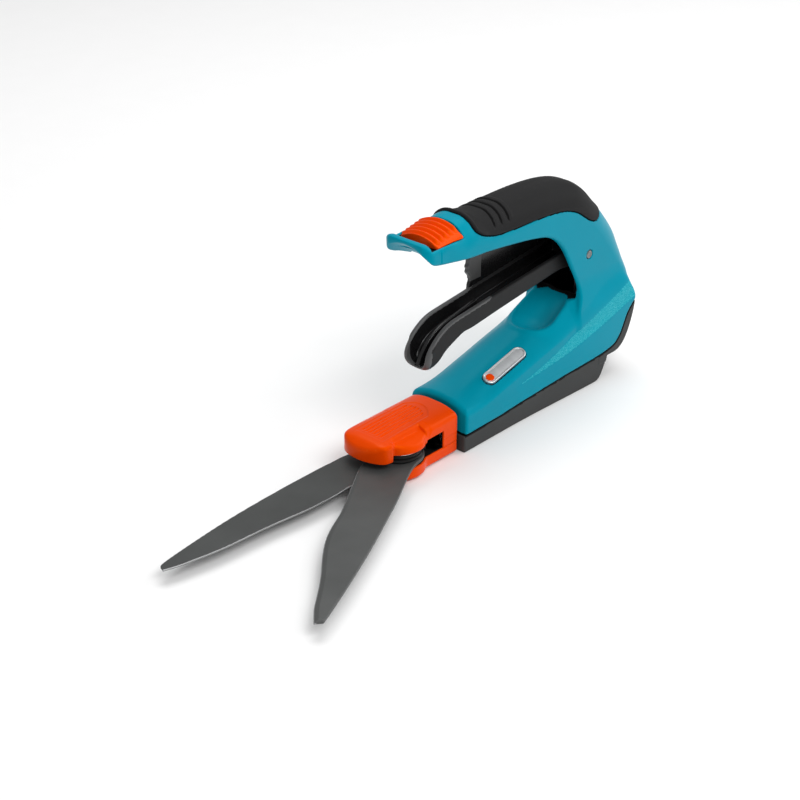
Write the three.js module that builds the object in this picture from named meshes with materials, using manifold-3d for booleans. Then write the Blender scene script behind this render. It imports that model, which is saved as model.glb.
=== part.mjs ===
// Hand-held grass shears: a rotating blade head driven by a squeeze lever.
// Millimetres. +X runs forward to the blade tips, +Y to the tool's left, +Z up.
// The origin is the centre of the flat underside that the tool rests on.
import * as THREE from 'three';
import { mergeVertices } from 'three/addons/utils/BufferGeometryUtils.js';
import Module from 'manifold-3d';

const wasm = await Module();
wasm.setup();

// ---- Driving dimensions -------------------------------------------------
const GAP = 0.3;                 // clearance between pieces that sit on each other
const BODY_FRONT = 60.6;         // front face of the housing
const BODY_HALF = 20.8;          // half width of the lower body
const FLARE_HALF = 23.4;         // half width of the flared rear
const ARM_HALF = 17.2;           // half width of the column and the upper arm
const WALL = 2.8;                // housing wall
const HEAD_REAR = 63.8;          // rear face of the rotating head
const HEAD_HALF = 16.9;          // half width of the head
const SWIVEL_Z = 14.3;           // height of the head's turning axis
const SLEEVE_R = 9.0;            // swivel sleeve, outside
const SLEEVE_BORE = 4.4;
const PIVOT = [99.5, 5.0];       // blade pivot, plan position
const BLADE_T = 2.0;
const FIXED_Z = 6.5;             // underside of the fixed blade
const MOVING_Z = 8.8;            // underside of the moving blade
const BLADE_OPEN = 28.9;         // heading of the open moving blade, degrees
const FIXED_ROOT_R = 13;         // round root of the fixed blade
const MOVING_ROOT_R = 14.4;      // round root of the moving blade
const DRIVE_PIN = [102.06, -3.63];
const DRIVE_PIN_R = 2.0;
const BOLT_R = 3.0;
const LEVER_PIVOT = [-51, 83.2];
const LEVER_PIN_R = 2.5;
const LEVER_HALF = 9.4;
const TAIL_PIVOT = [-70, 79.7];  // lever tail to drive link
const CRANK_PIVOT = [-48, 13];
const CRANK_LINK = [-65, 34];    // drive link to bell crank
const CRANK_ROD = [-45.44, 30.81];
const SMALL_PIN_R = 1.9;
const ROD_R = 2.5;
const SLIDER = [59, 78.5];       // lock slider, rear and front
const SCREW_R = 1.5;

const TEAL = 0x0795a8, ORANGE = 0xf4510b, DARK = 0x3a3b3c, BLACK = 0x141414;
const STEEL = 0xb9bbbd, BLADE = 0x4c4e50, RUBBER = 0x2f3032, SILVER = 0xc8cacc;

// ---- Solids and joins ---------------------------------------------------
function solid(geometry) {
  const g = geometry.clone();
  g.deleteAttribute('normal');
  g.deleteAttribute('uv');
  const merged = mergeVertices(g, 1e-4);
  return new wasm.Manifold(new wasm.Mesh({
    numProp: 3,
    vertProperties: new Float32Array(merged.attributes.position.array),
    triVerts: new Uint32Array(merged.index.array),
  }));
}

function toGeometry(manifold) {
  const mesh = manifold.getMesh();
  const g = new THREE.BufferGeometry();
  g.setAttribute('position', new THREE.BufferAttribute(mesh.vertProperties, 3));
  g.setIndex(new THREE.BufferAttribute(mesh.triVerts, 1));
  g.computeVertexNormals();
  return g;
}

function join(parts) {
  return parts.slice(1).reduce((sum, part) => sum.add(part), parts[0]);
}

function cut(base, parts) {
  return parts.reduce((left, part) => left.subtract(part), base);
}

// A closed outline from corners [u, v, cut-back of the rounding].
function outline(corners) {
  const shape = new THREE.Shape();
  const count = corners.length;
  corners.forEach(([x, y, r = 0], i) => {
    const [px, py] = corners[(i + count - 1) % count];
    const [nx, ny] = corners[(i + 1) % count];
    const back = Math.hypot(px - x, py - y);
    const ahead = Math.hypot(nx - x, ny - y);
    const a = Math.min(r, back * 0.45) / back;
    const b = Math.min(r, ahead * 0.45) / ahead;
    const start = [x + (px - x) * a, y + (py - y) * a];
    if (i === 0) shape.moveTo(...start);
    else shape.lineTo(...start);
    if (r > 0) shape.quadraticCurveTo(x, y, x + (nx - x) * b, y + (ny - y) * b);
  });
  shape.closePath();
  return shape;
}

function circle(x, y, r) {
  const shape = new THREE.Shape();
  shape.absarc(x, y, r, 0, Math.PI * 2);
  return shape;
}

// Extrusion from 0 to depth; deep is the edge rounding along the depth and
// wide the rounding across the outline.
function extrude(shape, depth, { deep = 0, wide = deep, rounds = 2, curve = 2 } = {}) {
  return new THREE.ExtrudeGeometry(shape, {
    depth: depth - 2 * deep, curveSegments: curve, bevelEnabled: deep > 0,
    bevelThickness: deep, bevelSize: wide, bevelOffset: -wide, bevelSegments: rounds,
  }).translate(0, 0, deep);
}

// Side outline (X, Z) extruded from y0 to y1.
function side(shape, y0, y1, rounding) {
  return solid(extrude(shape, y1 - y0, rounding).rotateX(Math.PI / 2).translate(0, y1, 0));
}

// Plan outline (X, Y) extruded from z0 to z1.
function plan(shape, z0, z1, rounding) {
  return solid(extrude(shape, z1 - z0, rounding).translate(0, 0, z0));
}

// Cross-section (Y, Z) extruded from x0 to x1.
function section(shape, x0, x1, rounding) {
  const turn = new THREE.Matrix4().makeBasis(
    new THREE.Vector3(0, 1, 0), new THREE.Vector3(0, 0, 1), new THREE.Vector3(1, 0, 0));
  return solid(extrude(shape, x1 - x0, rounding).applyMatrix4(turn).translate(x0, 0, 0));
}

function box(x0, x1, y0, y1, z0, z1) {
  return solid(new THREE.BoxGeometry(x1 - x0, y1 - y0, z1 - z0)
    .translate((x0 + x1) / 2, (y0 + y1) / 2, (z0 + z1) / 2));
}

// Solids of revolution from [radius, height] profiles closed on the axis.
function turned(profile, facets = 16) {
  const points = profile.map(([r, h]) => new THREE.Vector2(r, h));
  return new THREE.LatheGeometry(points, facets);
}

function turnedZ(x, y, profile, facets) {
  return solid(turned(profile, facets).rotateX(Math.PI / 2).translate(x, y, 0));
}

function turnedY(x, z, profile, facets) {
  return solid(turned(profile, facets).translate(x, 0, z));
}

function turnedX(y, z, profile, facets) {
  return solid(turned(profile, facets).rotateZ(-Math.PI / 2).translate(0, y, z));
}

function rodProfile(r, h0, h1, chamfer = 0) {
  return [[0, h0], [r - chamfer, h0], [r, h0 + chamfer], [r, h1 - chamfer],
    [r - chamfer, h1], [0, h1]];
}

const rodZ = (x, y, r, z0, z1, facets, chamfer) =>
  turnedZ(x, y, rodProfile(r, z0, z1, chamfer), facets);
const rodY = (x, z, r, y0, y1, facets, chamfer) =>
  turnedY(x, z, rodProfile(r, y0, y1, chamfer), facets);
const rodX = (y, z, r, x0, x1, facets, chamfer) =>
  turnedX(y, z, rodProfile(r, x0, x1, chamfer), facets);

const group = new THREE.Group();

function piece(name, shape, color, roughness, metalness, parent = group) {
  const geometry = shape.isBufferGeometry ? shape : toGeometry(shape);
  const material = new THREE.MeshStandardMaterial({ color, roughness, metalness });
  const mesh = new THREE.Mesh(geometry, material);
  mesh.name = name;
  parent.add(mesh);
  return mesh;
}

// ---- Outlines shared by the housing, the grip and the bottom cover -------
// Seam between housing and bottom cover, front to rear, then up the bumper.
const SEAM = [[60.6, 10.4], [30, 10.9], [0, 12.9], [-29, 15.1], [-52, 16.2], [-63.4, 16.6],
  [-70, 18.3], [-76.6, 20.5], [-81.6, 26], [-84.4, 31], [-87.2, 35.8], [-91.6, 40.4]];

const HEEL = [[-76, 15.2, 4], [-84.4, 17.8, 4], [-90.4, 23.2, 5], [-94.6, 32, 5], [-96, 41, 5],
  [-95.4, 51, 5]];
const BACK = [[-89, 66, 6], [-79, 86, 10], [-68, 101.5, 10], [-60, 112, 8], [-52, 121, 8],
  [-42, 128, 8], [-28, 132.6, 8], [-8, 133.8, 8], [16, 133.6, 8], [38, 131, 8]];
const NOSE = [[52, 128.8, 6], [60, 128.6, 4], [76, 129.2, 4], [87.6, 128.4],
  [87.2, 122.6, 3], [79, 118.4, 5]];
const LOOP = [[56, 115, 8], [38.7, 114.2, 8], [3.6, 109.6, 8], [-14.5, 105.6, 8],
  [-25.6, 96, 6], [-33.5, 82.4, 8], [-44.2, 62.5, 5], [-43.6, 55, 3]];
const SADDLE = [[-33.5, 52.8, 4], [-24, 48.4, 4], [-15, 43, 6], [12, 36.4, 8], [32, 31.2, 8],
  [46, 28.4, 6], [60.6, 27.8]];

const GRIP_LINE = [[50, 128.4], [46, 125.6], [42.3, 123.9, 3], [33.7, 121.4, 3], [17.4, 120.6, 3],
  [0.8, 120.3, 3], [-16.3, 119.2, 3], [-28, 117.3, 3], [-37.6, 113.5, 3], [-45.1, 108.1, 2],
  [-50.2, 104.5, 2], [-56.5, 102.2, 2], [-61.5, 103.6, 1], [-78, 112]];

function gripZone(lift) {
  const line = GRIP_LINE.map(([x, z, r]) => [x + (x > 48 ? -lift : 0), z + lift, r]);
  return side(outline([...line, [-78, 150], [51 - lift, 150]]), -40, 40);
}

const armRound = { deep: 10, wide: 6, rounds: 3, curve: 2 };

// ---- Housing ------------------------------------------------------------
function armDome(inset) {
  const grow = BACK.map(([x, z, r]) => [x + inset * 0.7, z - inset * 0.75, r]);
  const nose = NOSE.map(([x, z, r]) => [x - inset, z - inset * 0.75, r]);
  const foot = [[88 - inset, 100], [-20, 30], [-84 + inset, 40]];
  const half = ARM_HALF - inset;
  return side(outline([...foot, ...grow, ...nose.slice(0, 4)]), -half, half, armRound);
}

function loopPrism(half, edge) {
  const corners = [[-84, 40], ...BACK.map(([x, z, r]) => [x - 5, z + 6, r]),
    [60, 142], [96, 142], [96, 122.6], ...NOSE.slice(4), ...LOOP, [-40, 40]];
  return side(outline(corners), -half, half, { deep: edge, rounds: 1 });
}

function aboveSeam(lift) {
  const line = SEAM.map(([x, z]) => [x, z + lift]);
  return side(outline([[70, 10.4 + lift], ...line, [-96.4, 47 + lift], [-120, 47 + lift],
    [-120, 150], [70, 150]]), -40, 40);
}

const bodyOuter = side(outline([[60.6, 4], [-66, 4], ...HEEL, [-90, 61], [-60, 62],
  [-43.6, 56], ...SADDLE]), -BODY_HALF, BODY_HALF, { deep: 6, wide: 3.6, rounds: 3, curve: 2 });
const bodySides = side(outline([[60.6, 4], [-64, 4], [-64, 24], [-20, 24], [60.6, 22.6]]),
  -BODY_HALF, BODY_HALF, { deep: 0.6 });
const flareOuter = side(outline([[22, 24], [-20, 20.6, 3], [-46, 15.6, 3], [-66, 14.2],
  ...HEEL, [-90, 60.4], [-80, 61.8], [-62, 51, 6], [-30, 37.5, 6]]),
  -FLARE_HALF, FLARE_HALF, { deep: 4.5, wide: 3.4, rounds: 2 });
const bodyAll = join([bodyOuter, bodySides, flareOuter]);
const shell = bodyAll.intersect(aboveSeam(GAP))
  .add(armDome(0).intersect(loopPrism(ARM_HALF + 1, 1.6)));

const scoop = rodX(0, 0, 12.5, -30, 34, 20, 4);
const scoopPlaced = scoop.rotate([0, -33, 0]).translate([-38, 0, 66.5]);

const lowerCavity = side(outline([[57.8, 4], [57.8, 24.6], [46, 25.2, 4], [31, 28.2, 4],
  [11, 33.4, 4], [-14, 39.8, 4], [-24, 45, 4], [-40, 52.5, 4], [-60, 56], [-88, 56, 4],
  [-92, 49, 4], [-88.6, 41, 4], [-82, 33, 4], [-79, 28, 4], [-73, 23], [-62.4, 20.4], [-61, 4]]),
  -18, 18, { deep: 3, wide: 2, rounds: 1 });
const columnCavity = side(outline([[-46.8, 40], [-47, 62, 4], [-36.6, 83, 6], [-28, 98, 6],
  [-16, 108.6, 6], [2, 112.6, 6], [38, 117, 4], [56, 118, 4], [78, 119, 4], [80, 122.2, 1],
  [56, 122.2, 1], [50, 124.6, 2], [38, 126.6, 6], [14, 128.4, 6], [-10, 128.4, 8],
  [-28, 126, 8], [-42, 120, 8], [-57, 107, 8], [-69.6, 91, 8], [-78, 80, 6], [-86.4, 65, 6],
  [-89, 55], [-86, 40]]), -14, 14);
const armMouth = side(outline([[82, 108], [81, 119.6], [56, 119.4], [38, 118.2], [2, 114],
  [-17, 109.4], [-30, 99.4], [-38, 84], [-49, 62.5], [-46, 58.6], [-40, 60.4], [-30, 82],
  [-20, 96], [-2, 104]]), -14, 14);
const headBore = rodX(0, SWIVEL_Z, SLEEVE_R + GAP, 50, 66, 24);

// Screw posts hang from the roof and the grip seat; x, y and top height.
const POSTS = [[33, 13.4, 30], [33, -13.4, 30], [-38, 13.6, 54], [-38, -13.6, 54]];
const posts = POSTS.map(([x, y, top]) => rodZ(x, y, 4, 15.6, top, 10));
const postHoles = POSTS.map(([x, y]) => rodZ(x, y, SCREW_R + GAP, 10, 24.4, 8));

const BADGE_POSE = new THREE.Matrix4().makeTranslation(18.5, 12.6, 33.1)
  .multiply(new THREE.Matrix4().makeRotationY(0.235))
  .multiply(new THREE.Matrix4().makeRotationX(-0.36));

function badgeSolid(half, length, z0, z1, edge) {
  const pill = new THREE.Shape();
  const reach = length / 2 - half;
  pill.absarc(reach, 0, half, -Math.PI / 2, Math.PI / 2);
  pill.absarc(-reach, 0, half, Math.PI / 2, Math.PI * 1.5);
  return solid(extrude(pill, z1 - z0, { deep: edge, rounds: 1, curve: 6 })
    .translate(0, 0, z0).applyMatrix4(BADGE_POSE));
}

const badge = badgeSolid(4.1, 34, 0.3, 1.6, 0.3);

const sliderFloor = 125.6;
let housing = cut(shell, [scoopPlaced, lowerCavity, columnCavity, armMouth, headBore,
  box(57, 84.2, -20, 20, sliderFloor, 140), box(63.6, 76.6, -4.4, 4.4, 118, 130),
  rodY(...LEVER_PIVOT, LEVER_PIN_R + GAP, -20, 20, 16)]);
housing = housing.subtract(gripZone(-GAP)).add(
  armDome(3.4).intersect(gripZone(-4)).intersect(loopPrism(ARM_HALF - 3, 0.5))
    .subtract(columnCavity).subtract(armMouth));
housing = housing.add(join(posts).intersect(bodyOuter).subtract(scoopPlaced));
housing = cut(housing, [...postHoles, badgeSolid(4.4, 34.6, 0, 6, 0)]);
piece('housing', housing, TEAL, 0.42, 0);
piece('badge', badge, SILVER, 0.35, 0.6);

// ---- Soft grip ----------------------------------------------------------
const grooves = [0, 1, 2].map((i) =>
  side(outline([[30 - 7 * i, 131.6], [31.2 - 7 * i, 138], [27.4 - 7 * i, 138],
    [28.2 - 7 * i, 131.6]]), -11.5, 11.5));
const grip = cut(armDome(0).intersect(gripZone(0)), [armDome(3.1), ...grooves]);
piece('soft_grip', grip, RUBBER, 0.8, 0);

// ---- Bottom cover with the rear bumper -----------------------------------
const trayLow = side(outline([[61.9, 0], [61.9, 10.1], ...SEAM.slice(1, 6),
  [-64.6, 14.2], [-60.6, 0]]), -BODY_HALF, BODY_HALF, { deep: 0.8, rounds: 1 });
const bumper = flareOuter.subtract(aboveSeam(0)).intersect(box(-110, -58, -30, 30, 13.6, 60));
const trayHollow = side(outline([[59.4, 2.5], [59.4, 30], [-62.4, 30], [-58.4, 2.5]]),
  -18.2, 18.2, { deep: 1, rounds: 1 });
const crankPosts = [-1, 1].map((s) =>
  side(outline([[-53.4, 2], [-53, 15.6, 2], [-50.5, 17.4, 1], [-45.5, 17.4, 1],
    [-43, 15.6, 2], [-42.6, 2]]), s > 0 ? 9.8 : -13.8, s > 0 ? 13.8 : -9.8));
const rodGuide = cut(box(-14, -9, -8, 8, 2, 20.5), [rodX(0, SWIVEL_Z, ROD_R + GAP, -20, 0, 16)]);
const plungerGuide = cut(box(45.4, 53, 13.2, 17.4, 2, 19), [
  rodY(49.2, SWIVEL_Z, 2.2 + GAP, 10, 18.5, 12)]);
const trayPosts = POSTS.map(([x, y]) => rodZ(x, y, 4.4, 1, 15.2, 10));
const trayScrewHoles = POSTS.flatMap(([x, y]) => [
  rodZ(x, y, SCREW_R + GAP, -1, 18, 8), rodZ(x, y, 3.5, -1, 3.2, 10)]);
const tray = cut(join([trayLow.subtract(trayHollow), bumper.subtract(side(outline(
  [[-40, 2.5], [-40, 30], [-62.8, 30], [-61.6, 2.5]]), -18.2, 18.2)),
...crankPosts, rodGuide, plungerGuide, ...trayPosts]), [headBore, ...trayScrewHoles,
  rodY(...CRANK_PIVOT, 2.3, -20, 20, 14)]);
piece('bottom_cover', tray, DARK, 0.6, 0);

POSTS.forEach(([x, y], i) => {
  const profile = [[0, 1.4], [1, 0.6], [3.1, 0.8], [3.1, 2.4], [SCREW_R, 2.9], [SCREW_R, 22],
    [0, 23.5]];
  piece(`body_screw_${i + 1}`, turnedZ(x, y, profile, 10), STEEL, 0.35, 0.9);
});

// ---- Lock slider and its latch bar ---------------------------------------
const ribs = [0, 1, 2, 3, 4].map((i) =>
  side(outline([[62.4 + 3.5 * i, 129.2], [61.4 + 3.5 * i, 134], [64 + 3.5 * i, 134],
    [63.4 + 3.5 * i, 129.2]]), -12.5, 12.5));
const sliderCrown = side(outline([[SLIDER[0], 116], [SLIDER[0], 131.2], [68, 131.6, 5],
  [SLIDER[1], 130], [SLIDER[1] + 0.4, 116]]), -15.8, 15.8, { deep: 9, wide: 2.6, rounds: 3 });
const slider = join([cut(sliderCrown, ribs).intersect(box(50, 90, -20, 20, 125.9, 140)),
  box(64.2, 70.8, -4, 4, 119.8, 127)]);
piece('lock_slider', slider, ORANGE, 0.35, 0);

// The bar hangs under the arm's roof; its cross tab stands behind the lever's catch.
const latchBar = join([box(9.5, 73, 1.2, 4.6, 116.6, 119.4), box(62, 73, -6, 6, 116.6, 119.4),
  box(9.5, 12.5, -7.2, 4.6, 116.6, 119.4)]);
piece('latch_bar', latchBar, BLACK, 0.5, 0);

// ---- Lever ---------------------------------------------------------------
const leverProfile = outline([[-60, 76, 3], [-51, 74.8, 3], [-33, 76.2, 4], [-15.8, 74.1, 4],
  [20, 69.9, 4], [47, 66.4, 4], [58, 63.8, 5], [66, 60.4, 5], [71.5, 54.6, 4], [76, 51.4, 3],
  [80.8, 54.4, 3], [80.4, 61.5, 4], [77, 67, 4], [70.5, 72.6, 4], [62, 76.8, 4], [16, 81.7, 4],
  [-32.3, 86.4, 4], [-44, 89.6, 4], [-56, 90.2, 3], [-59.4, 84, 3]]);
const leverChannel = side(outline([[-46, 80, 2], [-33, 79, 3], [-15.8, 77, 4], [20, 72.8, 4],
  [48, 69.4, 4], [61, 66.4, 4], [69, 62, 4], [74.5, 56, 2], [77.6, 55.8, 2], [77.4, 61, 3],
  [86, 68], [72, 92], [-40, 100], [-46, 92]]), -6.9, 6.9);
const centreRib = side(outline([[34, 70], [77, 55], [78.8, 57], [76, 61.4, 2], [68.5, 68, 3],
  [59, 72.6, 3], [34, 77]]), -1.3, 1.3);
// Catch fin: a wall above the channel with a serrated block at its front end and a
// notch under the block's rear overhang that takes the latch tab.
const catchFin = side(outline([[-36, 78], [36, 70], [36.6, 84, 2], [34, 87, 1], [36.4, 92],
  [35.6, 94], [36.8, 95.4], [35.8, 97.4], [36.2, 99.6, 1], [33, 102, 1], [24, 103, 1],
  [22.2, 99.8], [26.5, 98.5], [24.9, 93.4], [18, 95.2, 2], [-10, 96.6, 4], [-34, 92.4, 4]]),
  -6.6, -2.6);
const tail = [-1, 1].map((s) => side(outline([[-50, 75, 3], [-62, 75.6, 4], [-71, 75.2, 3],
  [-75, 78.4, 2], [-74.6, 83, 3], [-68, 85.6, 3], [-56, 90, 3], [-50, 90]]),
s > 0 ? 2.5 : -6.5, s > 0 ? 6.5 : -2.5));
const lever = cut(join([cut(side(leverProfile, -LEVER_HALF, LEVER_HALF, { deep: 1.2, rounds: 1 }),
  [leverChannel, box(-66, -57.6, -2.5, 2.5, 70, 95)]), centreRib,
catchFin.subtract(box(-34, 40, -7, -6.4, 60, 79)), ...tail]), [
  rodY(...LEVER_PIVOT, LEVER_PIN_R + GAP, -12, 12, 16),
  rodY(...TAIL_PIVOT, SMALL_PIN_R + GAP, -10, 10, 12)]);
piece('lever', lever, BLACK, 0.4, 0);
piece('lever_pin', rodY(...LEVER_PIVOT, LEVER_PIN_R, -17, 17, 16, 0.5), STEEL, 0.3, 0.9);
piece('tail_pin', rodY(...TAIL_PIVOT, SMALL_PIN_R, -6.6, 6.6, 12, 0.3), STEEL, 0.3, 0.9);

// Torsion spring around the lever pin, beside the lever.
class SpringCurve extends THREE.Curve {
  getPoint(t, target = new THREE.Vector3()) {
    const turns = 2.25;
    const angle = t * turns * Math.PI * 2;
    const r = 4.6;
    return target.set(LEVER_PIVOT[0] + r * Math.cos(angle), 10.4 + 2.6 * t,
      LEVER_PIVOT[1] + r * Math.sin(angle));
  }
}
const springWire = new THREE.ExtrudeGeometry(circle(0, 0, 0.45), {
  steps: 30, curveSegments: 2, extrudePath: new SpringCurve() });
piece('lever_spring', solid(springWire), STEEL, 0.3, 0.9);

// ---- Drive train in the body ----------------------------------------------
const linkProfile = outline([[-69.4, 32, 3], [-65, 29.6, 3], [-60.6, 32, 3], [-62.6, 48, 4],
  [-64, 66, 4], [-65.6, 81, 3], [-70, 84, 3], [-74.4, 81, 3], [-71, 66, 4], [-69.4, 48, 4]]);
const link = cut(side(linkProfile, -2, 2), [rodY(...CRANK_LINK, SMALL_PIN_R + GAP, -4, 4, 12),
  rodY(...TAIL_PIVOT, SMALL_PIN_R + 0.8, -4, 4, 12)]);
piece('drive_link', link, STEEL, 0.45, 0.8);

const cheek = outline([[-53.2, 10.5, 3], [-50, 8, 2], [-46, 8, 2], [-42.8, 10.5, 3],
  [-41, 30.6, 3], [-45, 35.4, 3], [-65, 38.4, 4], [-69.4, 34.6, 3], [-66, 29.6, 3], [-56, 24, 4]]);
const crank = cut(join([side(cheek, -4.8, -2.4), side(cheek, 2.4, 4.8),
  rodY(...CRANK_PIVOT, 4.8, -9.4, 9.4, 14)]), [rodY(...CRANK_PIVOT, 2.3, -12, 12, 14),
  rodY(...CRANK_LINK, SMALL_PIN_R + GAP, -8, 8, 12),
  rodY(...CRANK_ROD, SMALL_PIN_R + GAP, -8, 8, 12)]);
piece('bell_crank', crank, STEEL, 0.45, 0.8);
piece('crank_pin', rodY(...CRANK_PIVOT, 2, -13.6, 13.6, 14, 0.3), STEEL, 0.3, 0.9);
piece('link_pin', rodY(...CRANK_LINK, SMALL_PIN_R, -5, 5, 12, 0.3), STEEL, 0.3, 0.9);
piece('rod_pin', rodY(...CRANK_ROD, SMALL_PIN_R, -5, 5, 12, 0.3), STEEL, 0.3, 0.9);

// Pull rod: a slotted plate at the crank, a round rod on the turning axis, a button at the head.
const rodPlate = side(outline([[-51, 27.6, 3], [-47.4, 25.2, 2], [-42, 25.2, 2], [-30, 11.9, 3],
  [-20, 11.9, 1], [-20, 16.7, 1], [-27.4, 16.8, 3], [-38, 32, 3], [-41, 36.4, 3],
  [-49.4, 36.4, 3], [-51, 33, 2]]), -2, 2);
const rodSlot = side(outline([[-47.7, 28.4, 2], [-43.2, 28.4, 2], [-43.2, 33.4, 2],
  [-47.7, 33.4, 2]]), -4, 4);
const rodEnd = turnedX(0, SWIVEL_Z, [[0, -23], [ROD_R, -23], [ROD_R, 71.6], [1.6, 72],
  [1.6, 75.2], [3.3, 75.6], [3.3, 78], [0, 78]], 14);
piece('pull_rod', join([rodPlate.subtract(rodSlot), rodEnd]), STEEL, 0.35, 0.9);

// ---- Swivel ----------------------------------------------------------------
const sleeveProfile = [[SLEEVE_BORE, 40], [SLEEVE_R, 40], [SLEEVE_R, 43], [7.6, 43.2], [7.6, 45],
  [SLEEVE_R, 45.2], [SLEEVE_R, 48], [10.4, 48.2], [10.4, 50.4], [SLEEVE_R, 50.6],
  [SLEEVE_R, 64], [12, 64.2], [12, 66.4], [SLEEVE_BORE, 66.4], [SLEEVE_BORE, 40]];
piece('swivel_sleeve', turnedX(0, SWIVEL_Z, sleeveProfile, 24), BLACK, 0.5, 0);
const clip = turnedX(0, SWIVEL_Z, [[7.9, 43.6], [10.4, 43.6], [10.4, 44.6], [7.9, 44.6],
  [7.9, 43.6]], 16).subtract(box(40, 48, -20, 20, 0, SWIVEL_Z - 6.6));
piece('sleeve_clip', clip, STEEL, 0.3, 0.9);
piece('detent_plunger', turnedY(49.2, SWIVEL_Z, [[0, 10.8], [1, 11.1], [1.9, 12], [2.2, 13.2],
  [2.2, 17.6], [0, 17.6]], 12), STEEL, 0.3, 0.9);

// ---- Head covers ------------------------------------------------------------
const [PX, PY] = PIVOT;
const coverPlan = outline([[HEAD_REAR, -HEAD_HALF, 1], [108, -17.4, 5], [118.5, -16.4, 4],
  [122.6, -11, 5], [124, -1, 6], [121.6, 9, 4], [117.4, 14.4, 3], [114.2, 15, 1],
  [112.2, 13.8, 1], [109.8, 16.4, 2], [104.8, 19.5, 4], [99.5, 20.4, 4], [94.4, 19.8, 4],
  [90.4, 17.6, 2], [HEAD_REAR, HEAD_HALF, 1]]);
const coverHollow = outline([[66.8, -14.7, 1], [107, -15.2, 4], [117, -14.2, 3],
  [120.4, -10, 4], [121.6, -1, 5], [119.4, 8, 3], [115.6, 11.6, 3], [112.2, 11.8, 2],
  [107.2, 16.6, 3], [99.5, 19.1, 4], [91.6, 16.9, 3], [88, 14.7], [66.8, 14.7, 1]]);
const crown = section(outline([[-24, 0], [24, 0], [24, 21.2], [20, 22.8], [17, 24.5, 2],
  [12, 26.4, 3], [6, 27.6, 3], [-6, 27.6, 3], [-12, 26.4, 3], [-17, 24.5, 2], [-20, 22.8],
  [-24, 21.2]]), 60, 130);
const browse = side(outline([[60, 0], [60, 27.8], [108, 27.8, 6], [117, 26.2, 5],
  [122, 23.6, 3], [124.6, 20, 2], [126, 0]]), -30, 30);
const coverTop = plan(coverPlan, 13.6, 30, {}).intersect(crown).intersect(browse);
const bossLift = box(88, 112.4, 11, 24, 10, 17.4);
const coverRear = box(HEAD_REAR, 89.6, -HEAD_HALF, HEAD_HALF, 8.2, 15).intersect(crown);
const gutters = [-7, -4, -1, 2, 5].map((y) => box(82, 112, y - 0.5, y + 0.5, 26.9, 29));
const windowBox = box(75.4, 92, 13, 20, 8, 18.6);
const HEAD_POSTS = [[70.6, 11], [70.6, -11]];
const coverPosts = HEAD_POSTS.map(([x, y]) => rodZ(x, y, 4, 8.2, 23, 12));
let cover = cut(join([coverTop, coverRear]), [
  plan(coverHollow, 10, 22.8, {}), box(66.8, 95, -14.7, 14.7, 4, 22.8), bossLift, windowBox,
  ...gutters, rodX(0, SWIVEL_Z, 12.3, 62, 66.8, 24), rodX(0, SWIVEL_Z, SLEEVE_R + GAP, 60, 68, 24)]);
cover = cut(join([cover, ...coverPosts]), HEAD_POSTS.map(([x, y]) =>
  rodZ(x, y, SCREW_R + GAP, 5, 18, 10)));
piece('head_upper_cover', cover, ORANGE, 0.35, 0);

const lowerPlan = outline([[HEAD_REAR, -HEAD_HALF], [108, -17.6, 5], [117, -14.6, 5],
  [119, -2, 5], [115, 11, 4], [109, 18, 5], [101, 20.4, 5], [94, 19.4, 4], [89.6, 16.9],
  [HEAD_REAR, HEAD_HALF]]);
const lowerHollow = outline([[66.8, -14.6, 1], [80, -14.6, 1], [86, -9.6, 2], [110, -9.6, 2],
  [110, 2.4, 2], [95, 2.4, 2], [86, 4, 2], [80, 14.6, 1], [66.8, 14.6, 1]]);
const lowerPosts = HEAD_POSTS.map(([x, y]) => rodZ(x, y, 3.9, 2, 7.9, 12));
const bladeSeat = plan(outline([[85, -12, 3], [100, -14, 2], [106, -22], [130, -22],
  [130, 13.4], [110, 14.4, 4], [104.5, 18, 4], [94.5, 18, 4], [88, 13.6, 4], [85, 6, 4]]),
FIXED_Z - GAP, 12);
const lowerShell = cut(join([cut(plan(lowerPlan, 1, 7.9, { deep: 0.8, rounds: 1, curve: 3 }), [
  plan(lowerHollow, 3, 12, {}), bladeSeat]), ...lowerPosts]), [
  rodX(0, SWIVEL_Z, 12.3, 62, 66.8, 24), rodZ(PX, PY, BOLT_R + GAP, -2, 12, 16),
  rodZ(PX, PY, 6.6, -2, 3.2, 16), ...HEAD_POSTS.flatMap(([x, y]) => [
    rodZ(x, y, SCREW_R + GAP, 0, 12, 10), rodZ(x, y, 3.4, 0, 3.4, 12)])]);
piece('head_lower_shell', lowerShell, ORANGE, 0.35, 0);

HEAD_POSTS.forEach(([x, y], i) => {
  const profile = [[0, 2.2], [1, 1.4], [3, 1.6], [3, 2.9], [SCREW_R, 3.1], [SCREW_R, 16],
    [0, 17.2]];
  piece(`head_screw_${i + 1}`, turnedZ(x, y, profile, 10), STEEL, 0.35, 0.9);
});

// ---- Blades -------------------------------------------------------------------
// Both outlines are relative to the pivot, with u along the heading of that blade.
function bladeShape(firstEdge, secondEdge) {
  const curve = (edge) => new THREE.SplineCurve(edge.map(([u, v]) => new THREE.Vector2(u, v)));
  const shape = new THREE.Shape(curve(firstEdge).getPoints(30));
  curve(secondEdge).getPoints(18).forEach((p) => shape.lineTo(p.x, p.y));
  shape.closePath();
  return shape;
}

const slot = (x0, x1, y0, y1) => outline([[x0, y0, 2], [x1, y0, 2], [x1, y1, 2], [x0, y1, 2]]);

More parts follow.
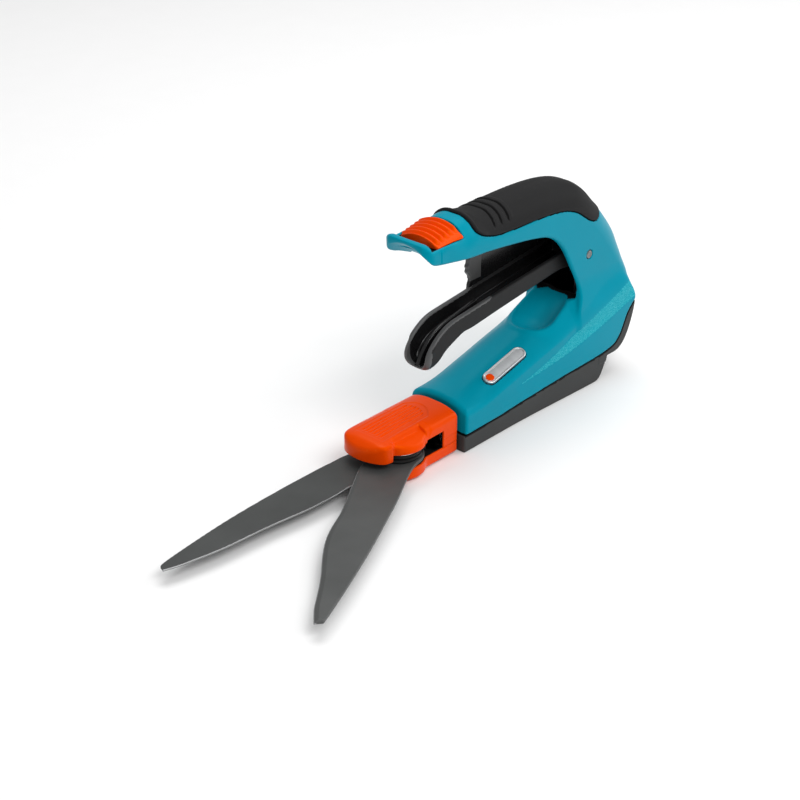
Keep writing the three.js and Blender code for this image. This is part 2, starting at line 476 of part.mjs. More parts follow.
// Fixed blade: straight back on the tool's right, waved cutting edge on its left.
const fixedShape = bladeShape(
  [[5, 11.8], [17, 7.6], [30, 4.6], [41, 3], [50.5, 3.5], [61, 3.4], [72.5, 2.8], [83, 1.5],
    [93, 0.2], [103.5, -0.8], [114, -1.5], [124, -2.2], [134, -3.6], [143, -5.3], [152, -7.1],
    [160.6, -9.8]],
  [[159, -12.6], [155.5, -14.9], [130.5, -18.3], [106.5, -20.7], [82.5, -22], [58.5, -22.5],
    [34, -22.4], [14, -20.8], [-4, -12.2]]);
const fixed = cut(join([
  plan(fixedShape, FIXED_Z, FIXED_Z + BLADE_T, {}).translate([PX, PY, 0]),
  rodZ(PX, PY, FIXED_ROOT_R, FIXED_Z, FIXED_Z + BLADE_T, 28)]), [
  rodZ(PX, PY, BOLT_R + GAP, 0, 12, 20), plan(slot(94.2, 104.8, -6.6, -1), 0, 12, {})]);
piece('fixed_blade', fixed, BLADE, 0.45, 0.7);

// Moving blade: mirror layout, turned out to its open heading about the pivot.
const bladeHub = new THREE.Group();
bladeHub.position.set(PX, PY, 0);
bladeHub.rotation.z = THREE.MathUtils.degToRad(BLADE_OPEN);
group.add(bladeHub);
const movingShape = bladeShape(
  [[160.6, 3.1], [150.4, 4.4], [129, 6.5], [107, 8.3], [84, 9.7], [60.7, 10.6], [48, 11.1],
    [16, 11.2], [4, 13.8]],
  [[0, -14.2], [12, -15.2], [20, -16.2], [26, -16.5], [37, -16.1], [55, -15.1], [67, -14.8],
    [79, -15.5], [90.5, -15.4], [101.5, -13.9], [112, -11.7], [122, -9.3], [132.5, -7.3],
    [142.6, -5.8], [152, -4.3], [162.6, -1.4]]);
const rootDisc = rodZ(0, 0, MOVING_ROOT_R, MOVING_Z, MOVING_Z + BLADE_T, 28);
const heading = THREE.MathUtils.degToRad(BLADE_OPEN);
const dx = DRIVE_PIN[0] - PX, dy = DRIVE_PIN[1] - PY;
const pinU = dx * Math.cos(heading) + dy * Math.sin(heading);
const pinV = -dx * Math.sin(heading) + dy * Math.cos(heading);
const movingOutline = plan(movingShape, MOVING_Z, MOVING_Z + BLADE_T, {});
const moving = cut(join([movingOutline, rootDisc]), [rodZ(0, 0, BOLT_R + GAP, 0, 14, 20),
  rodZ(pinU, pinV, DRIVE_PIN_R + GAP, 0, 14, 14)]);
piece('moving_blade', moving, BLADE, 0.45, 0.7, bladeHub);
piece('drive_pin', rodZ(pinU, pinV, DRIVE_PIN_R, 3.7, 10.7, 14, 0.2), STEEL, 0.3, 0.9, bladeHub);

// ---- Pivot stack ----------------------------------------------------------------
piece('pivot_bolt', turnedZ(PX, PY, [[0, 1.6], [1.6, 1.6], [1.6, 1.1], [5.6, 1.1],
  [6, 2.8], [BOLT_R, 2.9], [BOLT_R, 22], [0, 22]], 16), STEEL, 0.3, 0.9);
function ring(rIn, rOut, z0, z1, edge, facets = 28) {
  const rim = edge > 0 ? [[rOut - edge, z0], [rOut, (z0 + z1) / 2], [rOut - edge, z1]]
    : [[rOut, z0], [rOut, z1]];
  return turnedZ(PX, PY, [[rIn, z0], ...rim, [rIn, z1], [rIn, z0]], facets);
}
piece('bearing_disc_lower', ring(BOLT_R + GAP, 13.8, 11.1, 13.4, 0.7), BLACK, 0.25, 0);
piece('bearing_disc_upper', ring(BOLT_R + GAP, 13.5, 13.7, 15.8, 0.7), BLACK, 0.25, 0);
piece('steel_washer', ring(BOLT_R + GAP, 13.7, 16.1, 17, 0), STEEL, 0.25, 0.9);
const nut = new THREE.ExtrudeGeometry(outline([0, 1, 2, 3, 4, 5].map((i) =>
  [5.6 * Math.cos(i * Math.PI / 3), 5.6 * Math.sin(i * Math.PI / 3)])),
{ depth: 3.6, bevelEnabled: false }).translate(PX, PY, 17.3);
piece('pivot_nut', cut(solid(nut), [rodZ(PX, PY, BOLT_R + GAP, 10, 25, 16)]), STEEL, 0.35, 0.9);

// ---- Drive yoke in the head --------------------------------------------------------
const claw = cut(box(72, 81, -5.4, 5.4, 9, 19.4), [
  box(75.2, 78.6, -3.7, 3.7, 10.4, 22), box(70, 76, -2, 2, 12.2, 22)]);
const riser = box(77.4, 82, -5.4, 5.4, 3.4, 10);
const tongue = plan(outline([[77.4, -5.4], [90, -8.6, 3], [107, -8.6, 2], [107, 1.4, 2],
  [90, 1.4, 3], [84, 5.4, 3], [77.4, 5.4]]), 3.4, 5.6, {});
const yokeSlot = plan(slot(DRIVE_PIN[0] - 2.35, DRIVE_PIN[0] + 2.35, -6.7, -1), 0, 12, {});
piece('drive_yoke', cut(join([claw, riser, tongue]), [yokeSlot]), BLACK, 0.5, 0);

export default group;
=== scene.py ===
"""Grass shears: the visual model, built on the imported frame. All lengths in the shape code are
millimetres in the part's frame (+X to the blade tips, +Y left, +Z up) and become metres in make()."""
import math

import bmesh
import bpy
import numpy as np
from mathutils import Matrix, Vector


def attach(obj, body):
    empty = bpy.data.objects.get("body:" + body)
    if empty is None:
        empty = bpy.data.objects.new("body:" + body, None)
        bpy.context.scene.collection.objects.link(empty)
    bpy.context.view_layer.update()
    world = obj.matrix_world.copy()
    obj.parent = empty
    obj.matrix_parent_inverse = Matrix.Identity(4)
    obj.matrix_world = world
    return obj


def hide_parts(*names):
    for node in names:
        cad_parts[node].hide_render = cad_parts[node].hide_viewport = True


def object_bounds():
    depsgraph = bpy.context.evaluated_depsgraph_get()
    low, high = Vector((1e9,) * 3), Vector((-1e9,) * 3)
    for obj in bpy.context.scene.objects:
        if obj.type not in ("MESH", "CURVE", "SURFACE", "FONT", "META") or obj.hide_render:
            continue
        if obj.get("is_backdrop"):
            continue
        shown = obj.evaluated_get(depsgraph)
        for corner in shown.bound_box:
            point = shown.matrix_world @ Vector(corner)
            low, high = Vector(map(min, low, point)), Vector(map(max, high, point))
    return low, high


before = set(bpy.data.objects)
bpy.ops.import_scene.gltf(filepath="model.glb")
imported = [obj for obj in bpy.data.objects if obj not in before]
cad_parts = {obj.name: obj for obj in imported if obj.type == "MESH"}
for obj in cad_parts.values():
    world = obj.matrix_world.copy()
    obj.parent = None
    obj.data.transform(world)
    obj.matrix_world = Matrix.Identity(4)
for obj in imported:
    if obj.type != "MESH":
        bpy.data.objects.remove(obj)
cad_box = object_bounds()
MM = 0.001

# ---- Main dimensions (mm) -------------------------------------------------------
BODY_HALF = 20.8  # half width of the body at the front
FLARE = 2.6  # what each side gains towards the rear
ARM_HALF, ARM_ROUND = 17.2, 15.3  # half width of the gripped arm, radius of its top edges
NOSE_FRONT, NOSE_ROUND = 82.4, 7.4  # where the nose's front corners begin, and their radius
SHELL_IN = 14.0  # half width of the room inside the column and the arm
BODY_IN = 17.4  # half width of the room inside the body
SEAM_GAP = 0.7  # between the shell and the tray
SWIVEL_Z, SWIVEL_R = 14.3, 9.4  # the head's turning axis and the bore round it
LEVER_PIVOT = (-51.0, 83.2)
LEVER_HALF, CHANNEL_HALF = 9.4, 6.6
CUP_Z = 60.0  # below this height the lever's tip is rounded like a spoon
SLOT_REAR, SLOT_FRONT, SLOT_FLOOR = 58.6, 85.6, 125.6  # the slider's recess in the nose
RIB_PITCH = 3.5  # ribs of the slider
PIVOT = (99.5, 5.0)  # the blades' pivot
BOLT_R = 3.3
FIXED_Z, MOVING_Z, BLADE_T = 6.5, 8.8, 2.0  # undersides and thickness of the blades
BLADE_OPEN = math.radians(28.9)
DRIVE_PIN = (102.06, -3.63)
SCREW_HEAD, SCREW_SHANK = 3.6, 1.8  # radii of the wells that take the screws

# ---- Signed distance tools --------------------------------------------------------


def rounded(corners, steps=7):
    """The closed outline through corners (u, v, cut-back), as points."""
    out = []
    for i, (x, y, *cut) in enumerate(corners):
        r = cut[0] if cut else 0
        p, q = corners[i - 1], corners[(i + 1) % len(corners)]
        back, ahead = math.hypot(p[0] - x, p[1] - y), math.hypot(q[0] - x, q[1] - y)
        a, b = min(r, back * 0.48) / back, min(r, ahead * 0.48) / ahead
        s = (x + (p[0] - x) * a, y + (p[1] - y) * a)
        e = (x + (q[0] - x) * b, y + (q[1] - y) * b)
        if r <= 0:
            out.append((x, y))
            continue
        for k in range(steps + 1):
            t = k / steps
            at = ((1 - t) ** 2, 2 * t * (1 - t), t * t)
            out.append(tuple(at[0] * s[j] + at[1] * (x, y)[j] + at[2] * e[j] for j in (0, 1)))
    return np.array(out)


class Flat:
    """Signed distance to a closed outline, held on a fine grid and read by interpolation."""

    def __init__(self, points, pad=16.0, step=0.4):
        pts = np.asarray(points, float)
        self.lo = pts.min(0) - pad
        size = np.ceil((pts.max(0) + pad - self.lo) / step).astype(int) + 1
        self.step = step
        gu = (self.lo[0] + step * np.arange(size[0]))[:, None]
        gv = (self.lo[1] + step * np.arange(size[1]))[None, :]
        best = np.full((size[0], size[1]), 1e9)
        inside = np.zeros(best.shape, bool)
        for a, b in zip(pts, np.roll(pts, -1, 0)):
            e = b - a
            ll = e @ e
            if ll < 1e-12:
                continue
            t = np.clip(((gu - a[0]) * e[0] + (gv - a[1]) * e[1]) / ll, 0, 1)
            d = (gu - a[0] - t * e[0]) ** 2 + (gv - a[1] - t * e[1]) ** 2
            np.minimum(best, d, out=best)
            if a[1] != b[1]:
                cross = ((a[1] > gv) != (b[1] > gv)) & (gu < e[0] * (gv - a[1]) / e[1] + a[0])
                inside ^= cross
        self.grid = np.sqrt(best) * np.where(inside, -1, 1)
        self.grid = self.grid.astype(np.float32)

    def __call__(self, u, v):
        g = self.grid
        a = np.clip((u - self.lo[0]) / self.step, 0, g.shape[0] - 1.001)
        b = np.clip((v - self.lo[1]) / self.step, 0, g.shape[1] - 1.001)
        i, j = a.astype(np.int32), b.astype(np.int32)
        a, b = a - i, b - j
        near = g[i, j] * (1 - a) + g[i + 1, j] * a
        far = g[i, j + 1] * (1 - a) + g[i + 1, j + 1] * a
        return near * (1 - b) + far * b


def spline(points, count=40):
    """A smooth (Catmull-Rom) line through the points."""
    p = np.array(points, float)
    steps = max(2, count // len(p) + 2)
    out = []
    for i in range(len(p) - 1):
        a, b, c, d = p[max(i - 1, 0)], p[i], p[i + 1], p[min(i + 2, len(p) - 1)]
        for k in range(steps):
            t = k / steps
            out.append(0.5 * (2 * b + (c - a) * t + (2 * a - 5 * b + 4 * c - d) * t * t
                              + (3 * b - a - 3 * c + d) * t**3))
    out.append(p[-1])
    return np.array(out)


def flat(corners, **options):
    """Distance to the outline through corners (u, v, cut-back)."""
    return Flat(rounded(corners), **options)


def both(a, b, r):
    """Intersection with its edge rounded to r."""
    return np.minimum(np.maximum(a, b), -r) + np.hypot(np.maximum(a + r, 0), np.maximum(b + r, 0))


def either(a, b, r):
    """Union with its inner corner filled to r."""
    return -both(-a, -b, r)


def less(a, b, r):
    """a with b cut out of it, the edge rounded to r."""
    return both(a, -b, r)


def smooth(t):
    """A soft step from 0 to 1 as t goes from 0 to 1."""
    t = np.clip(t, 0, 1)
    return t * t * (3 - 2 * t)


def soft_clip(t, r):
    """max(t, 0) with its corner rounded over r."""
    return 0.5 * (t + np.sqrt(t * t + r * r))


def line(x, points):
    """A smooth height profile through (x, value) points, x falling or rising."""
    xs, ys = np.array(sorted(points), float).T
    fine = np.linspace(xs[0], xs[-1], 400)
    h = np.diff(xs)
    d = np.diff(ys) / h
    m = np.r_[d[0], (d[:-1] * h[1:] + d[1:] * h[:-1]) / (h[1:] + h[:-1]), d[-1]]
    k = np.clip(np.searchsorted(xs, fine) - 1, 0, len(h) - 1)
    t = (fine - xs[k]) / h[k]
    val = ((2 * t**3 - 3 * t**2 + 1) * ys[k] + (t**3 - 2 * t**2 + t) * h[k] * m[k]
           + (-2 * t**3 + 3 * t**2) * ys[k + 1] + (t**3 - t**2) * h[k] * m[k + 1])
    return np.interp(x, fine, val)


def surface(field, lo, hi, step):
    """Surface nets: quads on the zero level of field(x, y, z) in a box, drawn onto it."""
    lo, hi = np.array(lo, float), np.array(hi, float)
    n = np.ceil((hi - lo) / step).astype(int) + 1
    ax = [lo[k] + step * np.arange(n[k]) for k in range(3)]
    f = np.empty(n, np.float32)
    for i0 in range(0, n[0], 24):
        x = ax[0][i0 : i0 + 24][:, None, None]
        y, z = ax[1][None, :, None], ax[2][None, None, :]
        x, y, z = np.broadcast_arrays(x, y, z)
        f[i0 : i0 + 24] = field(x, y, z)
    s = f < 0
    cell = np.zeros(n - 1, np.int8)
    corners = [(a, b, c) for a in (0, 1) for b in (0, 1) for c in (0, 1)]

    def part(arr, o):
        return arr[o[0] : n[0] - 1 + o[0], o[1] : n[1] - 1 + o[1], o[2] : n[2] - 1 + o[2]]

    for o in corners:
        cell += part(s, o)
    live = (cell > 0) & (cell < 8)
    idx = np.full(n - 1, -1, np.int64)
    idx[live] = np.arange(live.sum())
    base = np.argwhere(live)
    total, count = np.zeros((len(base), 3)), np.zeros(len(base))
    for k in range(3):
        for o in corners:
            if o[k]:
                continue
            q = list(o)
            q[k] = 1
            fa = f[tuple((base + o).T)]
            fb = f[tuple((base + q).T)]
            hit = (fa < 0) != (fb < 0)
            t = np.where(hit, fa / np.where(hit, fa - fb, 1), 0)
            p = base + np.array(o, float)
            p[:, k] += t
            total += p * hit[:, None]
            count += hit
    verts = lo + step * total / count[:, None]
    quads = []
    for k in range(3):
        u, v = [(1, 2), (2, 0), (0, 1)][k]
        a = [slice(None)] * 3
        b = [slice(None)] * 3
        a[k], b[k] = slice(0, -1), slice(1, None)
        sa, sb = s[tuple(a)], s[tuple(b)]
        edge = np.argwhere(sa != sb)
        eu, ev = edge[:, u], edge[:, v]
        edge = edge[(eu > 0) & (ev > 0) & (eu < n[u] - 1) & (ev < n[v] - 1)]
        flip = sa[tuple(edge.T)]
        e = []
        for du, dv in ((-1, -1), (0, -1), (0, 0), (-1, 0)):
            c = edge.copy()
            c[:, u] += du
            c[:, v] += dv
            e.append(idx[tuple(c.T)])
        q = np.stack(e, 1)
        q[~flip] = q[~flip][:, ::-1]
        quads.append(q)
    quads = np.concatenate(quads)

    def at(p):
        return field(p[:, 0], p[:, 1], p[:, 2])

    def slope(p, h=0.12):
        g = np.empty_like(p)
        for k in range(3):
            d = np.zeros(3)
            d[k] = h
            g[:, k] = (at(p + d) - at(p - d)) / (2 * h)
        return g

    for _ in range(2):
        g = slope(verts)
        move = -at(verts)[:, None] * g / np.maximum((g * g).sum(1), 0.3)[:, None]
        size = np.linalg.norm(move, axis=1)
        verts = verts + move * np.minimum(1, 0.5 * step / np.maximum(size, 1e-9))[:, None]
    g = slope(verts, 0.2)
    return verts, quads, g / np.maximum(np.linalg.norm(g, axis=1), 1e-9)[:, None]


def fineness(final):
    """The grid size of a shape in mm."""
    return final


def make(name, verts, faces, finish, body, replaces, normals=None):
    """A piece from points in mm, riding on a CAD body and standing for CAD nodes."""
    mesh = bpy.data.meshes.new(name)
    faces = faces.tolist() if isinstance(faces, np.ndarray) else faces
    mesh.from_pydata((np.asarray(verts) * MM).tolist(), [], faces)
    mesh.validate()
    mesh.polygons.foreach_set("use_smooth", [True] * len(mesh.polygons))
    if normals is not None and len(mesh.vertices) == len(normals):
        mesh.normals_split_custom_set_from_vertices(normals.tolist())
    ob = bpy.data.objects.new(name, mesh)
    bpy.context.scene.collection.objects.link(ob)
    for m in finish if isinstance(finish, list) else [finish]:
        mesh.materials.append(m)
    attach(ob, body)
    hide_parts(*replaces)
    return ob


def sculpt(name, field, lo, hi, grid, finish, body, replaces):
    """A piece whose skin is the zero level of field(x, y, z), searched for from lo to hi."""
    v, q, nrm = surface(field, lo, hi, grid)
    return make(name, v, q, finish, body, replaces, nrm)


def paint(ob, chooser):
    """Gives each face the material number that chooser says for its centre, in mm."""
    mesh = ob.data
    c = np.empty(len(mesh.polygons) * 3)
    mesh.polygons.foreach_get("center", c)
    c = c.reshape(-1, 3) / MM
    chosen = chooser(c[:, 0], c[:, 1], c[:, 2])
    mesh.polygons.foreach_set("material_index", np.asarray(chosen, np.int32))
    mesh.update()


# ---- Materials ------------------------------------------------------------------------


def add_noise(tree, source, scale, detail):
    """Soft cloudy noise, for uneven colour or for grain."""
    node = tree.nodes.new("ShaderNodeTexNoise")
    node.inputs["Scale"].default_value = scale
    node.inputs["Detail"].default_value = detail
    tree.links.new(source, node.inputs["Vector"])
    return node.outputs["Fac"]


def add_cells(tree, source, scale):
    """Distance from the middle of the nearest of many small cells."""
    node = tree.nodes.new("ShaderNodeTexVoronoi")
    node.inputs["Scale"].default_value = scale
    tree.links.new(source, node.inputs["Vector"])
    return node.outputs["Distance"]


def add_range(tree, value, given, wanted):
    """Maps the range given to the range wanted."""
    node = tree.nodes.new("ShaderNodeMapRange")
    for side, number in zip(("From Min", "From Max", "To Min", "To Max"), (*given, *wanted)):
        node.inputs[side].default_value = number
    tree.links.new(value, node.inputs["Value"])
    return node.outputs["Result"]


def add_over(tree, under, color, factor):
    """The colour under, covered by another one where factor is 1."""
    node = tree.nodes.new("ShaderNodeMix")
    node.data_type = "RGBA"
    node.inputs["B"].default_value = (*color, 1)
    tree.links.new(under, node.inputs["A"])
    tree.links.new(factor, node.inputs["Factor"])
    return node.outputs["Result"]


def add_patches(tree, patches, color, spread):
    """The colour, a little darker and lighter from place to place."""
    ramp = tree.nodes.new("ShaderNodeValToRGB")
    for stop, place, change in zip(ramp.color_ramp.elements, (0.3, 0.7), (-spread, spread)):
        stop.position = place
        stop.color = (*[min(1.0, max(0.0, c * (1 + change))) for c in color], 1)
    tree.links.new(patches, ramp.inputs["Fac"])
    return ramp.outputs["Color"]


def add_wear(tree, under, patches, amount, color):
    """Rubbed edges: lighter where the surface bends sharply outwards, in patches."""
    bend = tree.nodes.new("ShaderNodeNewGeometry").outputs["Pointiness"]
    broken = tree.nodes.new("ShaderNodeMath")
    broken.operation = "MULTIPLY"
    tree.links.new(add_range(tree, bend, (0.52, 0.62), (0, amount)), broken.inputs[0])
    tree.links.new(patches, broken.inputs[1])
    return add_over(tree, under, color, broken.outputs["Value"])


def material(name, color, rough, metal=0.0, spread=0.06, grain=900.0, bump=0.08, depth=0.00006,
             wear=0.0, wear_color=(0.8, 0.8, 0.8), specular=0.12, streak=None, rough_span=0.08,
             dots=None, dot_color=None, tint=None):
    """A moulded or ground surface: patchy colour, uneven roughness, fine grain and worn edges."""
    m = bpy.data.materials.new(name)
    m.use_nodes = True
    tree = m.node_tree
    bsdf = tree.nodes["Principled BSDF"].inputs
    bsdf["Metallic"].default_value = metal
    bsdf["Specular IOR Level"].default_value = specular
    if tint:
        bsdf["Specular Tint"].default_value = (*tint, 1)
    place = source = tree.nodes.new("ShaderNodeTexCoord").outputs["Object"]
    if streak:
        stretch = tree.nodes.new("ShaderNodeMapping")
        stretch.inputs["Scale"].default_value = streak
        tree.links.new(place, stretch.inputs["Vector"])
        source = stretch.outputs["Vector"]
    patches = add_noise(tree, source, 38.0, 6.0)
    height = add_noise(tree, source, grain, 3.0)
    look = add_patches(tree, patches, color, spread)
    if wear:
        look = add_wear(tree, look, patches, wear, wear_color)
    if dots:
        height = add_cells(tree, place, dots)
        look = add_over(tree, look, dot_color, add_range(tree, height, (0.34, 0.46), (1, 0)))
    tree.links.new(look, bsdf["Base Color"])
    gloss = add_range(tree, patches, (0, 1), (max(0.02, rough - rough_span), rough + rough_span))
    tree.links.new(gloss, bsdf["Roughness"])
    relief = tree.nodes.new("ShaderNodeBump")
    relief.inputs["Strength"].default_value = bump
    relief.inputs["Distance"].default_value = depth
    tree.links.new(height, relief.inputs["Height"])
    tree.links.new(relief.outputs["Normal"], bsdf["Normal"])
    return m


TEAL = (0.0, 0.255, 0.355)
ORANGE = (0.80, 0.056, 0.0)
teal = material("teal_plastic", TEAL, 0.34, spread=0.03, grain=2600, bump=0.12, depth=0.00004, wear=0.25,
                wear_color=(0.05, 0.55, 0.66), specular=0.13, tint=(0.0, 0.75, 0.85))
teal_dotted = material("teal_textured", (0.006, 0.31, 0.395), 0.6, spread=0.05, grain=1500, bump=0.7,
                       depth=0.0002, dots=1900.0, dot_color=(0.06, 0.46, 0.53), specular=0.3,
                       tint=(0.0, 0.75, 0.85))
orange = material("orange_plastic", ORANGE, 0.3, spread=0.03, grain=2600, bump=0.1, depth=0.00004, wear=0.2,
                  wear_color=(1.0, 0.28, 0.05), specular=0.25, tint=(1.0, 0.4, 0.0))
# Black used as painted shade: inside the shells, in the grip's seat and along the seam, where the plastic
# lies in shadow.
painted_shade = material("painted_shade_black", (0.006, 0.006, 0.006), 0.55, spread=0.2, grain=1200, bump=0.15)
rubber = material("grip_rubber", (0.013, 0.013, 0.0135), 0.62, spread=0.12, grain=3200, bump=0.55,
                  depth=0.00012, wear=0.15, wear_color=(0.09, 0.09, 0.09), rough_span=0.1)
tray_grey = material("tray_plastic", (0.05, 0.051, 0.051), 0.55, spread=0.1, grain=2200, bump=0.4,
                     depth=0.0001, wear=0.3, wear_color=(0.16, 0.16, 0.16))
black = material("lever_black", (0.008, 0.008, 0.0085), 0.22, spread=0.15, grain=2400, bump=0.12,
                 depth=0.00005, wear=0.5, wear_color=(0.12, 0.12, 0.12), specular=0.4)
lever_side = material("lever_textured", (0.017, 0.017, 0.0175), 0.5, spread=0.15, grain=2600, bump=0.5,
                      depth=0.0001, wear=0.2, wear_color=(0.1, 0.1, 0.1))
# Lighter grey for the lever's rim: a painted highlight on its upward top, with worn edges.
lever_rim_highlight = material("lever_rim_highlight", (0.075, 0.076, 0.077), 0.38, spread=0.12, grain=2200, bump=0.3,
                     depth=0.00008, wear=0.3, wear_color=(0.25, 0.25, 0.25), specular=0.4)
blade_coat = material("blade_coating", (0.07, 0.073, 0.072), 0.46, metal=0.25, spread=0.1, grain=1800,
                      bump=0.3, depth=0.00006, wear=0.15, wear_color=(0.4, 0.4, 0.4), rough_span=0.1)
# A lighter copy of the blade coating for the upper blade: the same coating with painted light.
blade_coat_lit = material("blade_coating_lit", (0.09, 0.093, 0.092), 0.44, metal=0.3, spread=0.1,
                        grain=1800, bump=0.3, depth=0.00006, wear=0.15, wear_color=(0.4, 0.4, 0.4),
                        rough_span=0.1)
ground = material("ground_steel", (0.3, 0.305, 0.31), 0.34, metal=0.9, spread=0.08, grain=700, bump=0.3,
                  depth=0.00004, streak=(1.0, 14.0, 14.0))
steel = material("plated_steel", (0.56, 0.57, 0.58), 0.26, metal=1.0, spread=0.08, grain=900, bump=0.15,
                 depth=0.00004, wear=0.3, wear_color=(0.9, 0.9, 0.9))
pin_steel = material("pin_steel", (0.2, 0.205, 0.205), 0.38, metal=0.7, spread=0.12, grain=1200, bump=0.3,
                     depth=0.00004, wear=0.8, wear_color=(0.9, 0.9, 0.9))
zinc = material("cast_zinc", (0.36, 0.36, 0.37), 0.5, metal=0.9, spread=0.12, grain=1400, bump=0.4,
                depth=0.0001)
silver = material("badge_silver", (0.66, 0.67, 0.68), 0.3, metal=0.85, spread=0.05, grain=1500, bump=0.25,
                  depth=0.00004, streak=(1.0, 9.0, 9.0))
badge_face = material("badge_face", (0.5, 0.51, 0.52), 0.34, metal=0.7, spread=0.06, grain=1200, bump=0.25,
                      depth=0.00004, streak=(12.0, 1.0, 1.0))
gloss_black = material("disc_black", (0.012, 0.012, 0.012), 0.16, spread=0.2, grain=1500, bump=0.08,
                       depth=0.00004, wear=0.3, wear_color=(0.1, 0.1, 0.1))

# ---- Outlines of the housing --------------------------------------------------------------
SEAM = [(60.6, 10.4), (30, 10.9), (0, 12.9), (-29, 15.1), (-52, 16.2), (-61.4, 16.9, 3), (-68, 17.8, 3),
        (-74.4, 19.4, 4), (-79.4, 25.0, 3), (-82.0, 30.6, 3), (-85.0, 36.4, 3), (-90.0, 41.2)]
HEEL = [(-76.4, 13.4, 5), (-82.4, 16.8, 6), (-87.0, 23.6, 6), (-90.4, 32, 6), (-92.4, 40, 6),
        (-92.6, 48, 5)]
BACK = [(-94, 56), (-91.8, 66), (-84.6, 86.3), (-72.0, 102.8), (-62.2, 112.5), (-53.2, 121.3),
        (-42.5, 127.8), (-28, 131.3), (-8, 132.9), (14, 133.0), (28, 132.6), (37, 132.9), (43, 134.2),
        (48, 135.3), (53, 135.3), (58, 134.6), (64, 133.2), (70, 131.8), (76, 130.6), (80, 130.3),
        (84, 130.9), (87, 131.6), (89.2, 131.2)]
NOSE = [(90.2, 129.6), (89.4, 122), (79, 118.4)]
LOOP = [(56, 115, 10), (38.7, 114.2, 12), (3.6, 109.6, 12), (-14.5, 105.6, 12), (-25.6, 96, 9),
        (-33.5, 82.4, 12), (-44.2, 62.5, 8), (-43.6, 52, 4)]
GRIP = [(50.4, 140), (50, 128.6, 2), (46, 125.6, 3), (42.3, 123.9, 4), (33.7, 121.4, 5), (17.4, 120.6, 6),
        (0.8, 120.3, 6), (-16.3, 119.2, 6), (-28, 117.3, 6), (-37.6, 113.5, 5), (-45.1, 108.1, 4),
        (-50.2, 104.5, 4), (-56.5, 102.2, 4), (-61.5, 103.6, 3), (-78, 112), (-90, 150)]
SHOULDER = [(75, 24.3), (60, 24.7), (40.7, 25.6), (23.3, 29.3), (-3.4, 35.6), (-16, 38.4), (-24, 40.3),
            (-34, 43), (-44, 46), (-60, 50.5), (-80, 54), (-100, 56)]
CROWN = [(75, 5), (60, 5), (50, 5.6), (40, 6.9), (20, 7.9), (-3, 9.0), (-14, 9.8), (-24, 14.0), (-34, 17.4),
         (-44, 18.5), (-100, 18.5)]
STRIPE_LOW = [(30, 22.2), (18.8, 23.6), (-26.7, 29.2), (-89.3, 44.7), (-100, 47.4)]
STRIPE_TOP = [(30, 21.9), (18.8, 23.7), (-20.3, 33.0), (-38.2, 39.6), (-82.7, 53.9), (-100, 59.4)]

back_flat = Flat(np.r_[[(89, 100), (-20, 30), (-84, 40)], spline(BACK, 190), NOSE[:2]])
loop_flat = flat([(-40, 52), *reversed(LOOP[:-1]), (79, 118.4, 6), (88.4, 121.0, 2), (130, 122), (130, -30),
                  (-40, -30)])
body_flat = flat([(60.4, -20), (-66, -20), (-66, 13.6, 1), *HEEL, (-88.6, 55.6, 5), (-80, 62, 6), (-60, 90),
                  (60.4, 90)])
seam_flat = flat([(90, 10.4), *SEAM, (-97, 44.6), (-140, 45), (-140, 160), (90, 160)], pad=4)
grip_flat = flat(GRIP)
lower_cavity = flat([(57, -10), (57, 21.5), (46, 22.4, 4), (31, 25.2, 4), (11, 29.4, 4), (-14, 34.6, 4),
                     (-24, 38.6, 4), (-40, 49.0, 4), (-60, 54), (-83, 54, 4), (-88, 48, 4), (-84.4, 40, 4),
                     (-78.6, 33, 4), (-75.4, 28, 4), (-70, 23), (-62.4, 20.4), (-61, -10)])
column_cavity = flat([(-46.8, 40), (-47, 62, 4), (-36.6, 83, 6), (-28, 98, 6), (-16, 108.6, 6),
                      (2, 112.6, 6), (38, 117, 4), (56, 118, 4), (78, 119, 4), (80, 123.2, 1),
                      (56, 123.2, 1), (50, 125.0, 2), (38, 126.6, 6), (14, 127.6, 6), (-10, 127.6, 8),
                      (-28, 125.4, 8), (-41, 119, 8), (-55, 106, 8), (-66, 90, 8), (-74, 77.5, 6),
                      (-82.6, 63.5, 6), (-86, 54), (-84, 40)])
arm_mouth = flat([(82, 108), (81, 119.6), (56, 119.4), (38, 118.2), (2, 114), (-17, 109.4), (-30, 99.4),
                  (-38, 84), (-49, 62.5), (-46, 57.6), (-36, 56.4), (-26, 80), (-14, 94), (6, 102)])


def top_height(x, y):
    """Height of the body's arched top."""
    return line(x, SHOULDER) + line(x, CROWN) * (1 - np.minimum(np.abs(y) / BODY_HALF, 1.4) ** 2.2)


def flank(x, z):
    """Half width of the lower body: flared to the rear, with the raking stripe facet cut in."""
    low, top = line(x, STRIPE_LOW), line(x, STRIPE_TOP)
    wide = BODY_HALF + FLARE * smooth((24 - x) / 95)
    rise = soft_clip(z - low, 0.5) - soft_clip(z - top, 0.5)
    return wide - 0.24 * np.maximum(rise, 0)


def body_field(x, y, z):
    """The closed wedge under the hand: steep sides, an arched top and a round heel."""
    side = (np.abs(y) - flank(x, z)) * 0.97
    f = both(side, body_flat(x, z), 1.5)
    lid = (z - top_height(x, y)) * 0.86
    return both(f, lid, 1.4 + 1.4 * smooth((x - 30) / 25))


